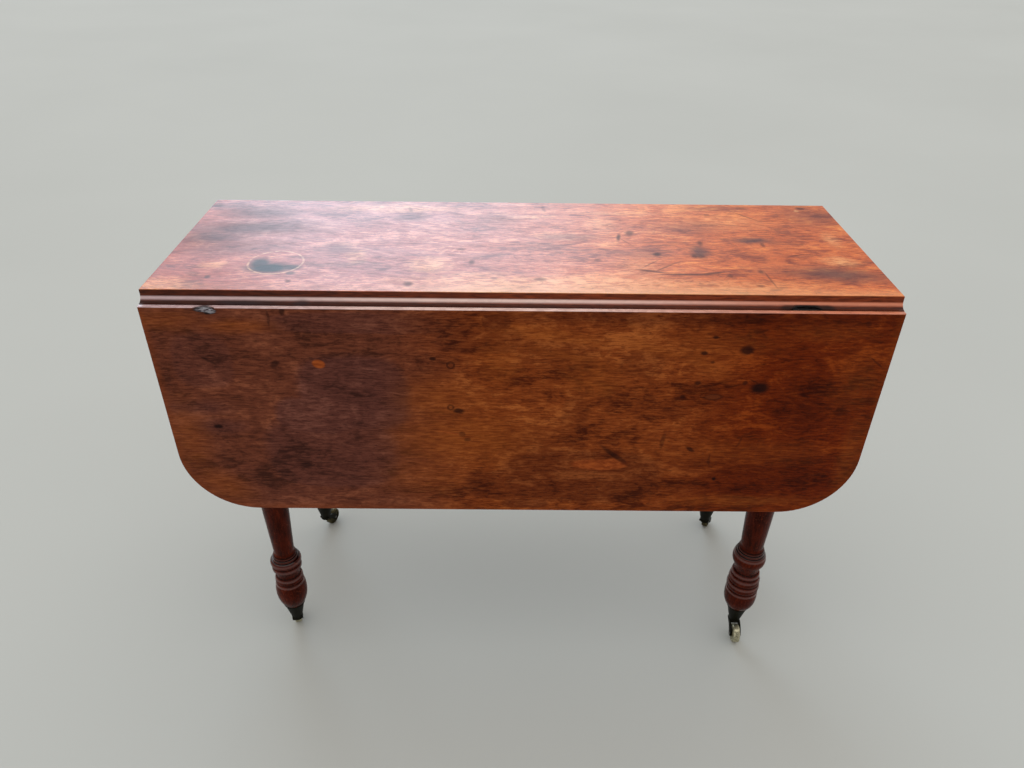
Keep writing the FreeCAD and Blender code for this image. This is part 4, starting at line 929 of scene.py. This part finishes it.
# The rear wheels' darker brass is painted shade.
shaded_rear_wheel_finish = old_metal("shaded_dull_brass", paint(58, 52, 34), paint(124, 112, 76), 0.45, 0.5, 0.38)
iron_finish = old_metal("old_iron", paint(46, 38, 34), paint(104, 98, 92), 0.45, 0.6, 0.42)
axle_finish = old_metal("dull_axle_steel", paint(70, 66, 60), paint(150, 146, 140), 0.5, 0.5, 0.36)
print("finishes:", cup_finish.name, wheel_finish.name, iron_finish.name, axle_finish.name)

# %% [markdown]
# The floor is a plain pale grey with only a breath of variation, so that the table stands on something and
# its shadow shows.

# %% Floor finish
FLOOR_TONES = (paint(184, 184, 178), paint(194, 194, 188))

floor_finish, tree, shader, coords = start_material("pale_floor")
breath = noise(tree, coords, (0.6, 0.6, 0.6), detail=3.0)
plug(shader, "Base Color", mix_colours(tree, breath, *FLOOR_TONES))
shader.inputs["Roughness"].default_value = 0.9
shader.inputs["Specular IOR Level"].default_value = 0.1
floor.data.materials.append(floor_finish)
print("finish:", floor_finish.name)

# %% [markdown]
# The top and the two leaves are worth their own meshes. A copy of the modelled board is merged into clean
# faces, its arrises are eased with a small bevel, as sandpaper and long use would, and the copy then stands
# for the board.

# %% Boards with eased arrises
WELD = 0.00001
FLAT_ANGLE = math.radians(0.2)
ARRIS_ANGLE = math.radians(50)
EASED = 0.0012
EASED_STEPS = 3


def pick(piece):
    deselect_all()
    bpy.context.view_layer.objects.active = piece
    piece.select_set(True)


def board_copy(node_name, title):
    piece = bpy.data.objects.new(title, nodes[node_name].data.copy())
    bpy.context.scene.collection.objects.link(piece)
    pick(piece)
    bpy.ops.object.mode_set(mode="EDIT")
    bpy.ops.mesh.customdata_custom_splitnormals_clear()
    bpy.ops.mesh.select_all(action="SELECT")
    bpy.ops.mesh.remove_doubles(threshold=WELD)
    bpy.ops.mesh.dissolve_limited(angle_limit=FLAT_ANGLE)
    bpy.ops.object.mode_set(mode="OBJECT")
    return piece


def lies_at(edge, axis, level):
    return all(abs(vertex.co[axis] - level) < WELD for vertex in edge.verts)


def ease_arrises(piece, axis, level, width):
    pick(piece)
    bpy.ops.object.mode_set(mode="EDIT")
    bpy.ops.mesh.select_mode(type="EDGE")
    bpy.ops.mesh.select_all(action="DESELECT")
    shape = bmesh.from_edit_mesh(piece.data)
    at_level = [edge for edge in shape.edges if lies_at(edge, axis, level)]
    chosen = [edge for edge in at_level if edge.calc_face_angle(0.0) > ARRIS_ANGLE]
    for edge in chosen:
        edge.select_set(True)
    bmesh.update_edit_mesh(piece.data)
    bpy.ops.mesh.bevel(offset=width, segments=EASED_STEPS, affect="EDGES")
    bpy.ops.object.mode_set(mode="OBJECT")
    return len(chosen)


top_low, top_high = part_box("top_board")
front_low, front_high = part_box("front_leaf")
rear_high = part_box("rear_leaf")[1]
top_piece = board_copy("top_board", "polished_top_board")
front_piece = board_copy("front_leaf", "hanging_front_leaf")
rear_piece = board_copy("rear_leaf", "hanging_rear_leaf")
print("top arrises", ease_arrises(top_piece, 2, top_high.z, EASED))
print("front leaf arrises", ease_arrises(front_piece, 1, front_low.y, EASED))
print("rear leaf arrises", ease_arrises(rear_piece, 1, rear_high.y, EASED))

# %% [markdown]
# Two old injuries are deep enough to need real shape: a splinter torn from the lip of the leaf near its
# left end, and a slot in the moulding of the top near the right. Each cutter starts as a ball, is stretched
# along the grain and roughened, and is then cut from the board. The finishes above paint the same places,
# the slot black inside as painted shade.

# %% Chips
TEAR = 0.16
CHIP_HALF_SIZE = (0.015, 0.004, 0.0045)
CHIP_PLACE = (-0.430, front_low.y, front_high.z - 0.001)
SLOT_HALF_SIZE = (0.022, 0.006, 0.004)
SLOT_PLACE = (0.388, top_low.y + 0.001, top_high.z - 0.0165)


def torn_out(piece, place, half_size, seed):
    deselect_all()
    bpy.ops.mesh.primitive_ico_sphere_add(subdivisions=3, radius=1.0, location=place)
    cutter = bpy.context.object
    bpy.ops.object.mode_set(mode="EDIT")
    bpy.ops.mesh.select_all(action="SELECT")
    bpy.ops.transform.vertex_random(offset=TEAR, uniform=0.5, seed=seed)
    bpy.ops.object.mode_set(mode="OBJECT")
    cutter.scale = half_size
    bpy.ops.object.transform_apply(location=True, rotation=True, scale=True)
    cut = piece.modifiers.new("torn", "BOOLEAN")
    cut.operation = "DIFFERENCE"
    cut.solver = "EXACT"
    cut.object = cutter
    pick(piece)
    bpy.ops.object.modifier_apply(modifier=cut.name)
    bpy.data.objects.remove(cutter)


torn_out(front_piece, CHIP_PLACE, CHIP_HALF_SIZE, 4)
torn_out(top_piece, SLOT_PLACE, SLOT_HALF_SIZE, 7)
print("faces after the chips:", len(front_piece.data.polygons), len(top_piece.data.polygons))

# %% [markdown]
# Each finished board gets smooth shading across its curves, weighted so that the broad flat faces stay
# flat, then its finish and its body, and the node that it stands for is hidden.

# %% Boards in place
SMOOTH_ANGLE = math.radians(40)


def set_in_place(piece, finish, body, node_name):
    pick(piece)
    bpy.ops.object.shade_smooth_by_angle(angle=SMOOTH_ANGLE)
    weighted = piece.modifiers.new("flat_faces_stay_flat", "WEIGHTED_NORMAL")
    weighted.keep_sharp = True
    bpy.ops.object.modifier_apply(modifier=weighted.name)
    piece.data.materials.clear()
    piece.data.materials.append(finish)
    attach(piece, body)
    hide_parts(node_name)


set_in_place(top_piece, top_finish, "frame", "top_board")
set_in_place(front_piece, leaf_finish, "front_leaf", "front_leaf")
set_in_place(rear_piece, rear_finish, "rear_leaf", "rear_leaf")
print("boards:", top_piece.name, front_piece.name, rear_piece.name)

# %% [markdown]
# All other pieces keep their modelled shape and only change their finish, by the kind of material that the
# model already gives them. Legs and wheels have finishes of their own.

# %% Finishes for the modelled pieces
FINISH_BY_SLOT = {
    "mahogany": end_finish,
    "secondary_wood": bare_finish,
    "brass": cup_finish,
    "iron": iron_finish,
    "axle_steel": axle_finish,
}
for name, node in nodes.items():
    finish = FINISH_BY_SLOT[node.material_slots[0].material.name]
    if name.startswith("leg_"):
        finish = left_leg_finish if name.endswith("left") else right_leg_finish
    if name.startswith("caster_wheel"):
        finish = wheel_finish if "_front_" in name else shaded_rear_wheel_finish
    for slot in node.material_slots:
        slot.material = finish
print("finished nodes:", len(nodes))
